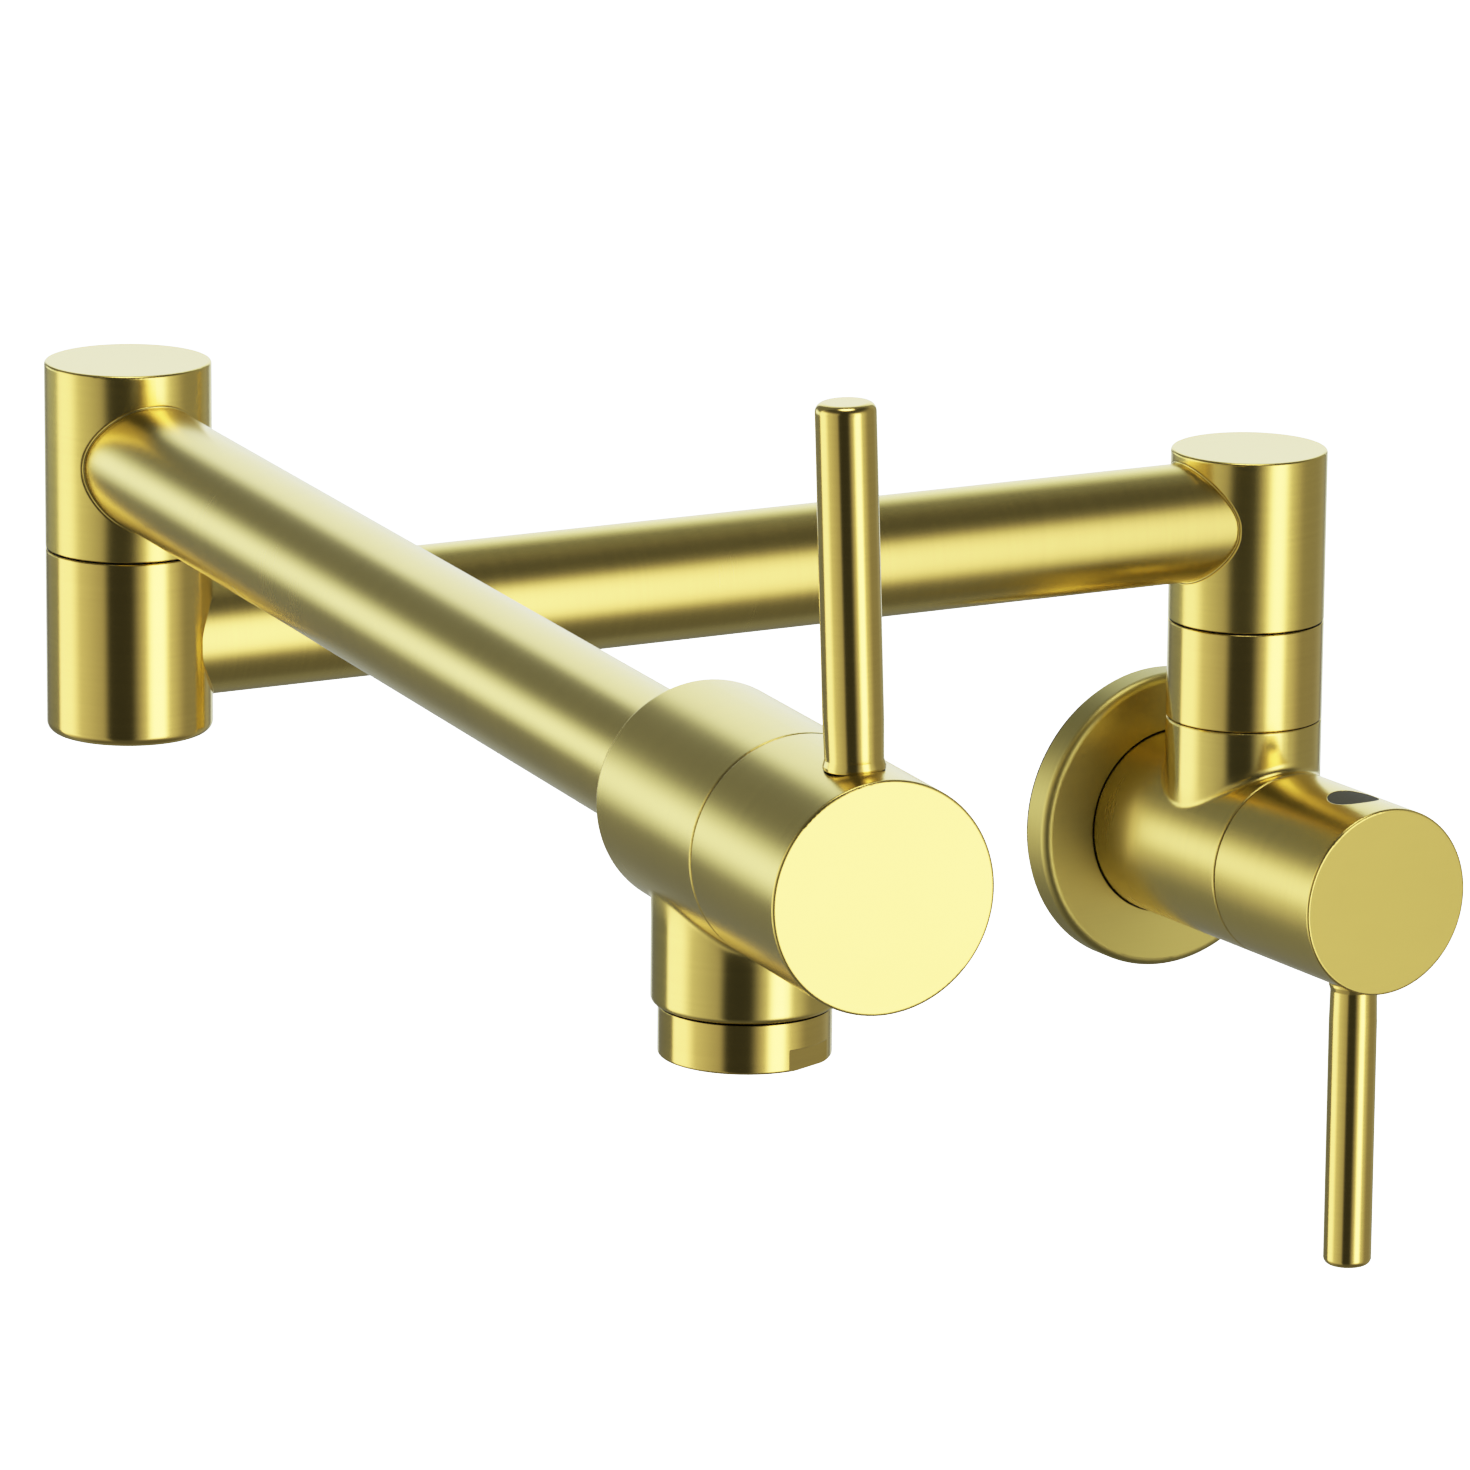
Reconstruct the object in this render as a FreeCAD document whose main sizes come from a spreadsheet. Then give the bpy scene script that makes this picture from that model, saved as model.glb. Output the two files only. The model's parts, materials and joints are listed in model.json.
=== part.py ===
import FreeCAD, Part
import math
import os
from types import SimpleNamespace

import Sketcher
from FreeCAD import Placement, Rotation, Vector

# A wall mounted pot filler: a tap on two swinging arms, with a valve at the wall and
# another at the spout. The origin is the mouth of the inlet thread, on the wall.
# -Y comes out of the wall, +Z is up and +X is right, seen from the room. Millimetres.

SIZES = {
    # Wall side
    "inlet_thread_radius": 9.3,    # crests of the half inch pipe thread
    "inlet_thread_length": 14.0,
    "inlet_seam": 52.0,            # wall to the seam between inlet body and hub
    "strainer_radius": 9.0,
    "strainer_thickness": 2.0,
    "strainer_rim": 2.2,
    "strainer_mesh": 0.6,
    "flange_radius": 31.3,
    "flange_depth": 8.2,
    "flange_wall": 2.2,
    "flange_edge": 1.8,            # rounding of the front edge
    "flange_sleeve": 6.0,          # length of the sleeve around the body
    "flange_grip": 5.2,            # wall to the O-ring that grips the flange
    "gasket_thickness": 1.4,
    "gasket_width": 3.0,
    "gasket_inset": 0.8,           # how far the gasket stays inside the flange's rim
    # Upright columns
    "column_radius": 16.0,
    "column_offset": 33.8,         # wall to the axis of the first column
    "stub_top": 27.8,
    "collar_height": 20.8,
    "head_height": 35.3,
    "head_arm_rise": 21.2,         # seam under the head to the first tube's axis
    "elbow_height": 36.2,          # of each half of the elbow
    "elbow_drop": 18.6,            # elbow's seam down to the first tube's axis
    "elbow_rise": 17.8,            # elbow's seam up to the second tube's axis
    "elbow_edge": 2.0,             # rounding of the elbow's lower edge
    "top_edge": 0.6,               # rounding of the columns' top edges
    "seam_edge": 0.2,              # bevel on both sides of a seam
    "mouth_edge": 0.5,             # rounding of a socket's mouth around its tube
    # Arms
    "tube_radius": 12.15,
    "tube_wall": 1.5,
    "arm_1_reach": 250.5,          # column axis to elbow axis
    "arm_2_reach": 300.4,          # elbow axis to spout axis
    "arm_1_rest": 176.5,           # degrees from +X, nearly flat against the wall
    "elbow_rest": 85.0,            # degrees from the first arm to the second
    "socket_floor": 9.2,           # column axis to the end of the tube in its socket
    "port_radius": 7.5,
    # Swivels
    "spigot_radius": 8.5,
    "spigot_length": 12.5,
    "water_radius": 5.5,
    "o_ring_section": 0.85,        # radius of the O-rings' section
    "o_ring_upper": 6.2,           # seam to the upper O-ring
    "o_ring_lower": 9.4,
    "clip_depth": 3.2,             # seam to the snap ring
    "clip_thickness": 1.0,
    "clip_width": 1.5,
    "clip_stand": 0.6,             # how far the snap ring stands out of the spigot
    "clip_mouth": 5.0,             # opening between the snap ring's ends
    "washer_radius": 13.0,
    "washer_thickness": 1.5,
    "neck_radius": 11.0,           # threaded neck that carries the collar
    # Valves
    "body_radius": 19.3,
    "body_edge": 1.0,              # rounding of the outlet body's back edge
    "saddle_edge": 1.7,            # fillet where a branch meets its body
    "outlet_back": 40.5,           # outlet body's back face to its seam
    "outlet_branch": 21.9,         # spout axis to the outlet body's seam
    "outlet_socket": 7.0,
    "chamber_radius": 11.0,
    "seat_depth": 30.0,            # seam to the seat at the bottom of the chamber
    "seat_radius": 6.5,
    "nut_radius": 13.0,            # thread of the nut that holds the cartridge
    "nut_depth": 8.0,
    "nut_corner": 13.5,            # half the width of the hexagon across corners
    "nut_head": 5.0,
    "seal_thickness": 2.0,
    "disc_radius": 9.4,
    "fixed_disc": 3.0,
    "moving_disc": 2.5,
    "disc_hole": 2.6,
    "disc_hole_offset": 5.0,
    "barrel_wall": 1.2,
    "barrel_cover": 12.0,          # seam to the inside of the barrel's cover
    "barrel_flange": 1.5,
    "window_width": 9.0,
    "window_height": 9.0,
    "gland_radius": 6.4,
    "spindle_radius": 4.0,
    "spindle_shoulder": 6.0,
    "spindle_reach": 26.0,         # seam to the end of the spindle
    "spindle_flat": 3.2,           # spindle axis to its flat
    "driver_width": 8.0,           # bar on the spindle that turns the moving disc
    "driver_length": 15.0,
    "driver_height": 2.5,
    # Handles
    "hub_length": 33.5,
    "hub_wall": 3.0,
    "hub_cavity": 9.0,
    "hub_edge": 0.5,
    "lever_place": 22.9,           # seam to the lever's axis
    "outlet_lean": 2.2,            # degrees that the outlet lever leans from upright
    "lever_radius": 4.95,
    "lever_foot": 5.1,             # radius of the lip around the lever's foot
    "lever_lip": 0.7,              # height of that lip
    "lever_waist": 0.15,           # how much the lever narrows above its lip
    "lever_waist_height": 1.7,     # foot to the waist
    "lever_swell_height": 8.4,     # foot to where the lever has its full radius again
    "lever_seat_depth": 0.4,       # hub's surface to the spot face under the lever's foot
    "lever_reach": 78.6,
    "lever_edge": 1.5,
    "stud_radius": 3.0,
    "stud_length": 11.0,
    "plug_place": 21.1,            # seam to the axis of the plug and of its grub screw
    "plug_radius": 5.2,
    "plug_thickness": 3.0,
    "plug_sink": 0.1,              # hub's surface to the plug's face
    "screw_radius": 2.0,
    "screw_length": 6.0,
    "screw_socket": 1.15,          # half the width of the key's hexagon across corners
    "screw_socket_depth": 2.5,
    # Spout
    "spout_radius": 15.6,
    "spout_reach": 30.9,           # arm axis to the spout's lower rim
    "spout_edge": 1.0,
    "spout_bore": 12.0,
    "spout_bore_depth": 7.7,
    "spout_water": 8.0,
    "ring_radius": 14.4,
    "ring_height": 8.8,
    "ring_gap": 0.45,              # spout's rim to the ring
    "ring_flat_depth": 0.8,        # how far the wrench flats cut into the ring
    "ring_flat_height": 3.7,
    "ring_turn": 26.5,             # degrees from the arm to the first flat
    "ring_lip": 1.5,
    "ring_lip_width": 1.0,
    "ring_wall": 1.3,
    "washer_height": 1.8,
    "washer_width": 3.2,
    "insert_height": 8.0,
    "insert_plate": 2.5,
    "insert_wall": 1.1,
    "insert_hole": 1.1,
    "insert_pitch": 3.6,
    # Fits and gaps
    "running_fit": 0.05,           # radial, a shaft that turns in its bore
    "seated_fit": 0.03,            # radial, pieces that don't move against each other
    "ring_fit": 0.1,               # around snap rings and in their grooves
    "barrel_fit": 0.2,
    "flange_fit": 0.15,
    "fixed_gap": 0.15,             # seam between pieces that are screwed together
    "moving_gap": 0.3,             # seam between pieces that turn
}


class Size:
    """A length or an angle: its number, and the formula over the sheet that gives it."""

    def __init__(self, number, formula):
        self.number = number
        self.formula = formula

    def __add__(self, other):
        other = as_size(other)
        return Size(self.number + other.number, f"({self.formula} + {other.formula})")

    def __sub__(self, other):
        other = as_size(other)
        return Size(self.number - other.number, f"({self.formula} - {other.formula})")

    def __mul__(self, other):
        other = as_size(other)
        return Size(self.number * other.number, f"({self.formula} * {other.formula})")

    def __rsub__(self, other):
        return as_size(other) - self

    def __neg__(self):
        return as_size(0) - self

    __radd__ = __add__
    __rmul__ = __mul__


def as_size(value):
    return value if isinstance(value, Size) else Size(float(value), repr(float(value)))


doc = FreeCAD.newDocument("pot_filler")
sheet = doc.addObject("Spreadsheet::Sheet", "sizes")
for row, (name, number) in enumerate(SIZES.items(), 1):
    sheet.set(f"A{row}", name)
    sheet.set(f"B{row}", str(number))
    sheet.setAlias(f"B{row}", name)
doc.recompute()
s = SimpleNamespace(**{name: Size(sheet.get(name), f"sizes.{name}") for name in SIZES})

pieces = []


# ---- Making bodies, sketches and features ----

def bind(thing, path, size):
    thing.setExpression(path, as_size(size).formula)


def new_body(name, placement):
    body = doc.addObject("PartDesign::Body", name)
    body.Label = name
    body.Placement = placement
    pieces.append(body)
    return body


def sketch_on(body, role, x=0, y=0, z=0):
    """A sketch on one of the body's own planes, shifted in the plane (x, y) and off it (z)."""
    sketch = body.newObject("Sketcher::SketchObject", f"{body.Name}_sketch")
    plane = next(f for f in body.Origin.OriginFeatures if f.Role == role)
    sketch.AttachmentSupport = [(plane, "")]
    sketch.MapMode = "FlatFace"
    for axis, shift in zip("xyz", (x, y, z)):
        if isinstance(shift, Size):
            bind(sketch, f"AttachmentOffset.Base.{axis}", shift)
    return sketch


def pin(rules, bound, point, x, y, skip_x=False, skip_y=False):
    """Collects what ties one point of a sketch to the sketch's axes."""
    for kind, axis, size, skip in (("DistanceX", -2, x, skip_x), ("DistanceY", -1, y, skip_y)):
        size = as_size(size)
        if skip:
            continue
        if size.formula == "0.0":
            rules.append(Sketcher.Constraint("PointOnObject", point[0], point[1], axis))
        else:
            bound.append((len(rules), size))
            rules.append(Sketcher.Constraint(kind, -1, 1, point[0], point[1], size.number))


def settle(sketch, rules, bound):
    first = sketch.ConstraintCount
    sketch.addConstraint(rules)
    for index, size in bound:
        bind(sketch, f"Constraints[{first + index}]", size)


def draw_outline(sketch, corners):
    """A closed outline through corners (x, y), each tied to the sketch's axes."""
    corners = [(as_size(x), as_size(y)) for x, y in corners]
    count = len(corners)
    first = sketch.GeometryCount
    points = [Vector(x.number, y.number, 0) for x, y in corners]
    lines = [Part.LineSegment(points[i], points[(i + 1) % count]) for i in range(count)]
    sketch.addGeometry(lines)
    rules = [
        Sketcher.Constraint("Coincident", first + i, 2, first + (i + 1) % count, 1)
        for i in range(count)
    ]
    bound = []
    for i, (x, y) in enumerate(corners):
        level_x = i > 0 and x.formula == corners[i - 1][0].formula
        level_y = i > 0 and y.formula == corners[i - 1][1].formula
        if level_x:
            rules.append(Sketcher.Constraint("Vertical", first + i - 1))
        if level_y:
            rules.append(Sketcher.Constraint("Horizontal", first + i - 1))
        pin(rules, bound, (first + i, 1), x, y, level_x, level_y)
    settle(sketch, rules, bound)


def draw_circle(sketch, radius, x=0, y=0):
    radius = as_size(radius)
    centre = Vector(as_size(x).number, as_size(y).number, 0)
    index = sketch.addGeometry(Part.Circle(centre, Vector(0, 0, 1), radius.number))
    rules = [Sketcher.Constraint("Radius", index, radius.number)]
    bound = [(0, radius)]
    pin(rules, bound, (index, 3), x, y)
    settle(sketch, rules, bound)


def finish(body, feature, adds):
    """Recomputes, and stops if the feature didn't add or remove anything."""
    before = body.Shape.Volume if body.Shape and not body.Shape.isNull() else 0.0
    body.Tip = feature
    doc.recompute()
    change = body.Shape.Volume - before
    if (change > 0) != adds or abs(change) < 1e-6:
        raise RuntimeError(f"{feature.Name} changed the volume by {change:.4f}")
    return feature


def revolve(body, corners, axis="V_Axis", z=0, cut=False):
    """A revolved solid or groove, from an outline on the body's XZ plane."""
    sketch = sketch_on(body, "XZ_Plane", y=z)
    draw_outline(sketch, corners)
    kind = "Groove" if cut else "Revolution"
    feature = body.newObject(f"PartDesign::{kind}", f"{body.Name}_{kind.lower()}")
    feature.Profile = sketch
    feature.ReferenceAxis = (sketch, [axis])
    feature.Angle = 360
    return finish(body, feature, adds=not cut)


def pocket(body, sketch, length=None, reverse=False, both=False):
    feature = body.newObject("PartDesign::Pocket", f"{body.Name}_pocket")
    feature.Profile = sketch
    if length is None:
        feature.Type = "ThroughAll"
    else:
        feature.Length = as_size(length).number
        bind(feature, "Length", length)
    feature.Midplane = both
    feature.Reversed = reverse
    return finish(body, feature, adds=False)


def pad(body, sketch, length):
    feature = body.newObject("PartDesign::Pad", f"{body.Name}_pad")
    feature.Profile = sketch
    feature.Length = as_size(length).number
    bind(feature, "Length", length)
    return finish(body, feature, adds=True)


def dress(body, kind, size, wanted):
    """A fillet or chamfer on the edges that wanted(edge) picks from the last feature."""
    base = body.Tip
    names = [f"Edge{n}" for n, edge in enumerate(base.Shape.Edges, 1) if wanted(edge)]
    if not names:
        raise RuntimeError(f"{body.Name}: no edge to {kind.lower()}")
    feature = body.newObject(f"PartDesign::{kind}", f"{body.Name}_{kind.lower()}")
    feature.Base = (base, names)
    path = "Radius" if kind == "Fillet" else "Size"
    setattr(feature, path, size.number)
    bind(feature, path, size)
    body.Tip = feature
    doc.recompute()
    return feature


def rim(radius, *heights):
    """Picks the circles of one radius about the body's Z axis at the given heights."""
    radius = as_size(radius).number
    heights = [as_size(height).number for height in heights]

    def wanted(edge):
        curve = edge.Curve
        return (
            isinstance(curve, Part.Circle)
            and abs(curve.Axis.z) > 0.999
            and math.hypot(curve.Center.x, curve.Center.y) < 1e-4
            and abs(curve.Radius - radius) < 1e-4
            and any(abs(curve.Center.z - height) < 1e-4 for height in heights)
        )

    return wanted


def ring(name, placement, inner, outer, bottom, top):
    """A plain ring or washer about its own Z axis."""
    body = new_body(name, placement)
    revolve(body, [(inner, bottom), (outer, bottom), (outer, top), (inner, top)])
    return body


def torus(radius, section, height):
    """An O-ring about Z, at a height."""
    shape = doc.addObject("Part::Torus", "o_ring")
    bind(shape, "Radius1", radius)
    bind(shape, "Radius2", section)
    bind(shape, "Placement.Base.z", height)
    return shape


# ---- Where things stand ----

UP = Vector(0, 0, 1)
LEVEL = Rotation(UP, 0)

head_seam = s.stub_top + s.collar_height
arm_1_height = head_seam + s.head_arm_rise
elbow_seam = arm_1_height + s.elbow_drop
arm_2_height = elbow_seam + s.elbow_rise
inlet_branch = s.inlet_seam - s.column_offset

column_place = Placement(Vector(0, -s.column_offset.number, 0), LEVEL)
arm_1_place = column_place * Placement(Vector(), Rotation(UP, s.arm_1_rest.number))
elbow_place = arm_1_place * Placement(Vector(s.arm_1_reach.number, 0, 0), LEVEL)
elbow_socket_place = elbow_place * Placement(Vector(), Rotation(UP, 180))
arm_2_place = elbow_place * Placement(Vector(), Rotation(UP, s.elbow_rest.number))

# A valve's own frame: Z comes out of its face, X is where its lever points, and the
# origin is on the seam between body and hub.
inlet_place = Placement(
    Vector(0, -s.inlet_seam.number, 0),
    Rotation(Vector(0, 0, -1), Vector(1, 0, 0), Vector(0, -1, 0), "ZXY"),
)
outlet_seam = s.arm_2_reach + s.outlet_branch
outlet_place = arm_2_place * Placement(
    Vector(outlet_seam.number, 0, arm_2_height.number),
    Rotation(Vector(0, 0, 1), Vector(0, -1, 0), Vector(1, 0, 0), "ZXY"),
)
wall_place = Placement(Vector(), Rotation(Vector(1, 0, 0), 90))
spout_place = arm_2_place * Placement(
    Vector(s.arm_2_reach.number, 0, arm_2_height.number),
    Rotation(Vector(1, 0, 0), Vector(0, -1, 0), Vector(0, 0, -1), "ZXY"),
)

# ---- Sizes that follow from others ----

swivel_bore = s.spigot_radius + s.running_fit
o_ring_floor = swivel_bore - 2 * s.o_ring_section - 2 * s.seated_fit
o_ring_centre = swivel_bore - s.o_ring_section - s.seated_fit
o_ring_room = s.o_ring_section + s.ring_fit
clip_outer = s.spigot_radius + s.clip_stand
clip_inner = clip_outer - s.clip_width
clip_room = 0.5 * s.clip_thickness + s.ring_fit
tube_socket = s.tube_radius + s.seated_fit
flange_bore = s.body_radius + s.flange_fit
nut_thread = s.nut_radius - s.running_fit
barrel_radius = s.chamber_radius - s.barrel_fit
disc_room = barrel_radius - s.barrel_wall
fixed_disc_bottom = s.seal_thickness - s.seat_depth
fixed_disc_top = fixed_disc_bottom + s.fixed_disc
moving_disc_top = fixed_disc_top + s.moving_disc
lever_seat = s.body_radius - s.lever_seat_depth
plug_face = s.body_radius - s.plug_sink
plug_floor = plug_face - s.plug_thickness


# ---- Swivels ----

def spigot_outline(seam):
    """The outside of a spigot, from its end up to the seam: two O-ring grooves and a
    groove for the snap ring."""
    lower, upper = seam - s.o_ring_lower, seam - s.o_ring_upper
    clip = seam - s.clip_depth
    floor = clip_inner - s.ring_fit
    corners = [(s.spigot_radius, seam - s.spigot_length)]
    for centre, half, depth in (
        (lower, o_ring_room, o_ring_floor),
        (upper, o_ring_room, o_ring_floor),
        (clip, clip_room, floor),
    ):
        corners += [
            (s.spigot_radius, centre - half),
            (depth, centre - half),
            (depth, centre + half),
            (s.spigot_radius, centre + half),
        ]
    return corners + [(s.spigot_radius, seam)]


def clip_groove(seam):
    """The groove for the snap ring in a swivel's bore, from the top down."""
    clip = seam - s.clip_depth
    outer = clip_outer + s.ring_fit
    return [
        (swivel_bore, clip + clip_room),
        (outer, clip + clip_room),
        (outer, clip - clip_room),
        (swivel_bore, clip - clip_room),
    ]


def socket_mouth(height):
    """Picks the curve where a tube's socket opens in its round column."""
    height = as_size(height).number

    def wanted(edge):
        if isinstance(edge.Curve, (Part.Circle, Part.Line)):
            return False
        return all(
            abs(math.hypot(p.x, p.y) - s.column_radius.number) < 1e-3
            and abs(math.hypot(p.y, p.z - height) - tube_socket.number) < 1e-3
            for p in edge.discretize(9)
        )

    return wanted


def cut_arm_socket(body, height):
    """The port and the tube's socket, towards the body's +X, at the arm's height."""
    port = sketch_on(body, "YZ_Plane")
    draw_circle(port, s.port_radius, 0, height)
    pocket(body, port, s.column_radius, reverse=True)
    socket = sketch_on(body, "YZ_Plane", z=s.socket_floor)
    draw_circle(socket, tube_socket, 0, height)
    pocket(body, socket, s.column_radius, reverse=True)
    dress(body, "Fillet", s.mouth_edge, socket_mouth(height))


def make_swivel_top(name, placement, seam, arm_height, top):
    """A column that turns: a spigot below, the tube's socket at the side."""
    body = new_body(name, placement)
    corners = [(0, top), (0, arm_height), (s.water_radius, arm_height)]
    corners += [(s.water_radius, seam - s.spigot_length)]
    corners += spigot_outline(seam)
    corners += [(s.column_radius, seam), (s.column_radius, top)]
    revolve(body, corners)
    dress(body, "Fillet", s.top_edge, rim(s.column_radius, top))
    dress(body, "Chamfer", s.seam_edge, rim(s.column_radius, seam))
    cut_arm_socket(body, arm_height)
    return body


def make_swivel_seals(prefix, placement, seam):
    """The O-rings, snap ring and bearing washer of one swivel."""
    rings = [
        torus(o_ring_centre, s.o_ring_section, seam - s.o_ring_lower),
        torus(o_ring_centre, s.o_ring_section, seam - s.o_ring_upper),
    ]
    group = doc.addObject("Part::Compound", f"{prefix}_o_rings")
    group.Links = rings
    group.Label = f"{prefix}_o_rings"
    group.Placement = placement
    pieces.append(group)

    clip = seam - s.clip_depth
    half = 0.5 * s.clip_thickness
    body = ring(f"{prefix}_clip", placement, clip_inner, clip_outer, clip - half, clip + half)
    mouth = sketch_on(body, "XY_Plane", z=clip)
    half_mouth = 0.5 * s.clip_mouth
    draw_outline(mouth, [
        (0, -half_mouth), (s.column_radius, -half_mouth),
        (s.column_radius, half_mouth), (0, half_mouth),
    ])
    pocket(body, mouth, both=True)

    inner = s.spigot_radius + s.moving_gap
    ring(f"{prefix}_washer", placement, inner, s.washer_radius, seam - s.washer_thickness, seam)


# ---- Wall side ----

def make_flange():
    body = new_body("wall_flange", wall_place)
    inside = s.flange_radius - s.flange_wall
    plate = s.flange_depth - s.flange_wall
    sleeve = s.flange_depth - s.flange_sleeve
    revolve(body, [
        (inside, s.gasket_thickness),
        (s.flange_radius, s.gasket_thickness),
        (s.flange_radius, s.flange_depth),
        (flange_bore, s.flange_depth),
        (flange_bore, sleeve),
        (flange_bore + s.flange_wall, sleeve),
        (flange_bore + s.flange_wall, plate),
        (inside, plate),
    ])
    dress(body, "Fillet", s.flange_edge, rim(s.flange_radius, s.flange_depth))
    dress(body, "Fillet", s.seam_edge, rim(flange_bore, s.flange_depth))
    outer = s.flange_radius - s.gasket_inset
    ring("flange_gasket", wall_place, outer - s.gasket_width, outer, 0, s.gasket_thickness)
    grip = doc.addObject("Part::Torus", "flange_o_ring")
    grip.Label = "flange_o_ring"
    bind(grip, "Radius1", flange_bore - s.o_ring_section - s.seated_fit)
    bind(grip, "Radius2", s.o_ring_section)
    grip.Placement = wall_place * Placement(Vector(0, 0, s.flange_grip.number), LEVEL)
    pieces.append(grip)


def cut_chamber(body, back, entry):
    """The waterway along a valve body: the way in from the back, as given by entry, then
    the seat, the cartridge's chamber and the thread of its nut."""
    corners = [(0, back)] + entry + [
        (s.seat_radius, entry[-1][1]),
        (s.seat_radius, -s.seat_depth),
        (s.chamber_radius, -s.seat_depth),
        (s.chamber_radius, -s.nut_depth),
        (s.nut_radius, -s.nut_depth),
        (s.nut_radius, 0),
        (0, 0),
    ]
    revolve(body, corners, cut=True)


def saddle(edge):
    """Picks the curve where a branch leaves its valve body, on the outside only."""
    if isinstance(edge.Curve, (Part.Circle, Part.Line)):
        return False
    points = edge.discretize(9)
    on_body = all(abs(math.hypot(p.x, p.y) - s.body_radius.number) < 1e-3 for p in points)
    return on_body and all(p.x < 0 for p in points)


def make_inlet_body():
    body = new_body("inlet_body", inlet_place)
    back = -s.inlet_seam
    grip = back + s.flange_grip
    grip_floor = flange_bore - 2 * s.o_ring_section - 2 * s.seated_fit
    revolve(body, [
        (0, back),
        (s.body_radius, back),
        (s.body_radius, grip - o_ring_room),
        (grip_floor, grip - o_ring_room),
        (grip_floor, grip + o_ring_room),
        (s.body_radius, grip + o_ring_room),
        (s.body_radius, 0),
        (0, 0),
    ])
    dress(body, "Chamfer", s.seam_edge, rim(s.body_radius, 0))
    # The stub stands on the body, opposite the lever, and its neck carries the collar.
    neck_top = head_seam - s.washer_thickness
    revolve(body, [
        (0, 0),
        (-neck_top, 0),
        (-neck_top, s.neck_radius),
        (-s.stub_top, s.neck_radius),
        (-s.stub_top, s.column_radius - s.seam_edge),
        (s.seam_edge - s.stub_top, s.column_radius),
        (0, s.column_radius),
    ], axis="H_Axis", z=-inlet_branch)
    dress(body, "Fillet", s.saddle_edge, saddle)
    thread_end = back + s.inlet_thread_length
    strainer_seat = s.strainer_radius + s.seated_fit
    cut_chamber(body, back, [
        (s.inlet_thread_radius, back),
        (s.inlet_thread_radius, thread_end),
        (strainer_seat, thread_end),
        (strainer_seat, thread_end + s.strainer_thickness),
    ])
    bore = [(-neck_top, 0), (-neck_top, swivel_bore)]
    bore += [(-height, radius) for radius, height in clip_groove(head_seam)]
    bore += [(0, swivel_bore), (0, 0)]
    revolve(body, bore, axis="H_Axis", z=-inlet_branch, cut=True)


def make_strainer():
    """A washer with a fine dished screen across it, at the bottom of the thread."""
    bottom = s.inlet_thread_length
    top = bottom + s.strainer_thickness
    outer = s.strainer_radius
    body = new_body("inlet_strainer", wall_place)
    revolve(body, [
        (0, top - s.strainer_mesh),
        (outer - s.strainer_rim, top - s.strainer_mesh),
        (outer - s.strainer_rim, bottom),
        (outer, bottom),
        (outer, top),
        (0, top),
    ])


def make_collar():
    top = head_seam - s.moving_gap
    seat = head_seam - s.washer_thickness
    bottom = s.stub_top + s.fixed_gap
    bore = s.neck_radius + s.running_fit
    recess = s.washer_radius + s.running_fit
    body = new_body("column_collar", column_place)
    revolve(body, [
        (bore, bottom),
        (s.column_radius, bottom),
        (s.column_radius, top),
        (recess, top),
        (recess, seat),
        (bore, seat),
    ])
    dress(body, "Chamfer", s.seam_edge, rim(s.column_radius, bottom, top))


# ---- Arms ----

def make_elbow_lower():
    bottom = elbow_seam - s.elbow_height
    top = elbow_seam - s.moving_gap
    seat = elbow_seam - s.washer_thickness
    recess = s.washer_radius + s.running_fit
    floor = arm_1_height - s.port_radius - s.running_fit
    body = new_body("elbow_lower", elbow_socket_place)
    revolve(body, [
        (0, bottom),
        (s.column_radius, bottom),
        (s.column_radius, top),
        (recess, top),
        (recess, seat),
        (swivel_bore, seat),
    ] + clip_groove(elbow_seam) + [
        (swivel_bore, floor),
        (0, floor),
    ])
    dress(body, "Fillet", s.elbow_edge, rim(s.column_radius, bottom))
    dress(body, "Chamfer", s.seam_edge, rim(s.column_radius, top))
    cut_arm_socket(body, arm_1_height)


def make_tube(name, placement, height, start, end):
    """An arm's tube along the arm's +X, at the arm's height."""
    along = Rotation(Vector(0, 0, -1), Vector(0, 1, 0), Vector(1, 0, 0), "ZXY")
    place = placement * Placement(Vector(0, 0, height.number), along)
    ring(name, place, s.tube_radius - s.tube_wall, s.tube_radius, start, end)


def make_outlet_body():
    body = new_body("outlet_body", outlet_place)
    back = -s.outlet_back
    revolve(body, [(0, back), (s.body_radius, back), (s.body_radius, 0), (0, 0)])
    dress(body, "Fillet", s.body_edge, rim(s.body_radius, back))
    dress(body, "Chamfer", s.seam_edge, rim(s.body_radius, 0))
    # The spout hangs from the body, opposite the lever.
    revolve(body, [
        (0, 0),
        (-s.spout_reach, 0),
        (-s.spout_reach, s.spout_radius),
        (0, s.spout_radius),
    ], axis="H_Axis", z=-s.outlet_branch)
    dress(body, "Fillet", s.saddle_edge, saddle)
    dress(body, "Fillet", s.spout_edge, spout_rim)
    socket = back + s.outlet_socket
    cut_chamber(body, back, [(tube_socket, back), (tube_socket, socket)])
    seat = s.spout_reach - s.spout_bore_depth
    revolve(body, [
        (0, 0),
        (-s.spout_reach, 0),
        (-s.spout_reach, s.spout_bore),
        (-seat, s.spout_bore),
        (-seat, s.spout_water),
        (0, s.spout_water),
    ], axis="H_Axis", z=-s.outlet_branch, cut=True)


def spout_rim(edge):
    """Picks the spout's lower outer edge."""
    curve = edge.Curve
    return (
        isinstance(curve, Part.Circle)
        and abs(curve.Radius - s.spout_radius.number) < 1e-4
        and abs(curve.Center.x + s.spout_reach.number) < 1e-4
    )


# ---- Valves ----

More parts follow.
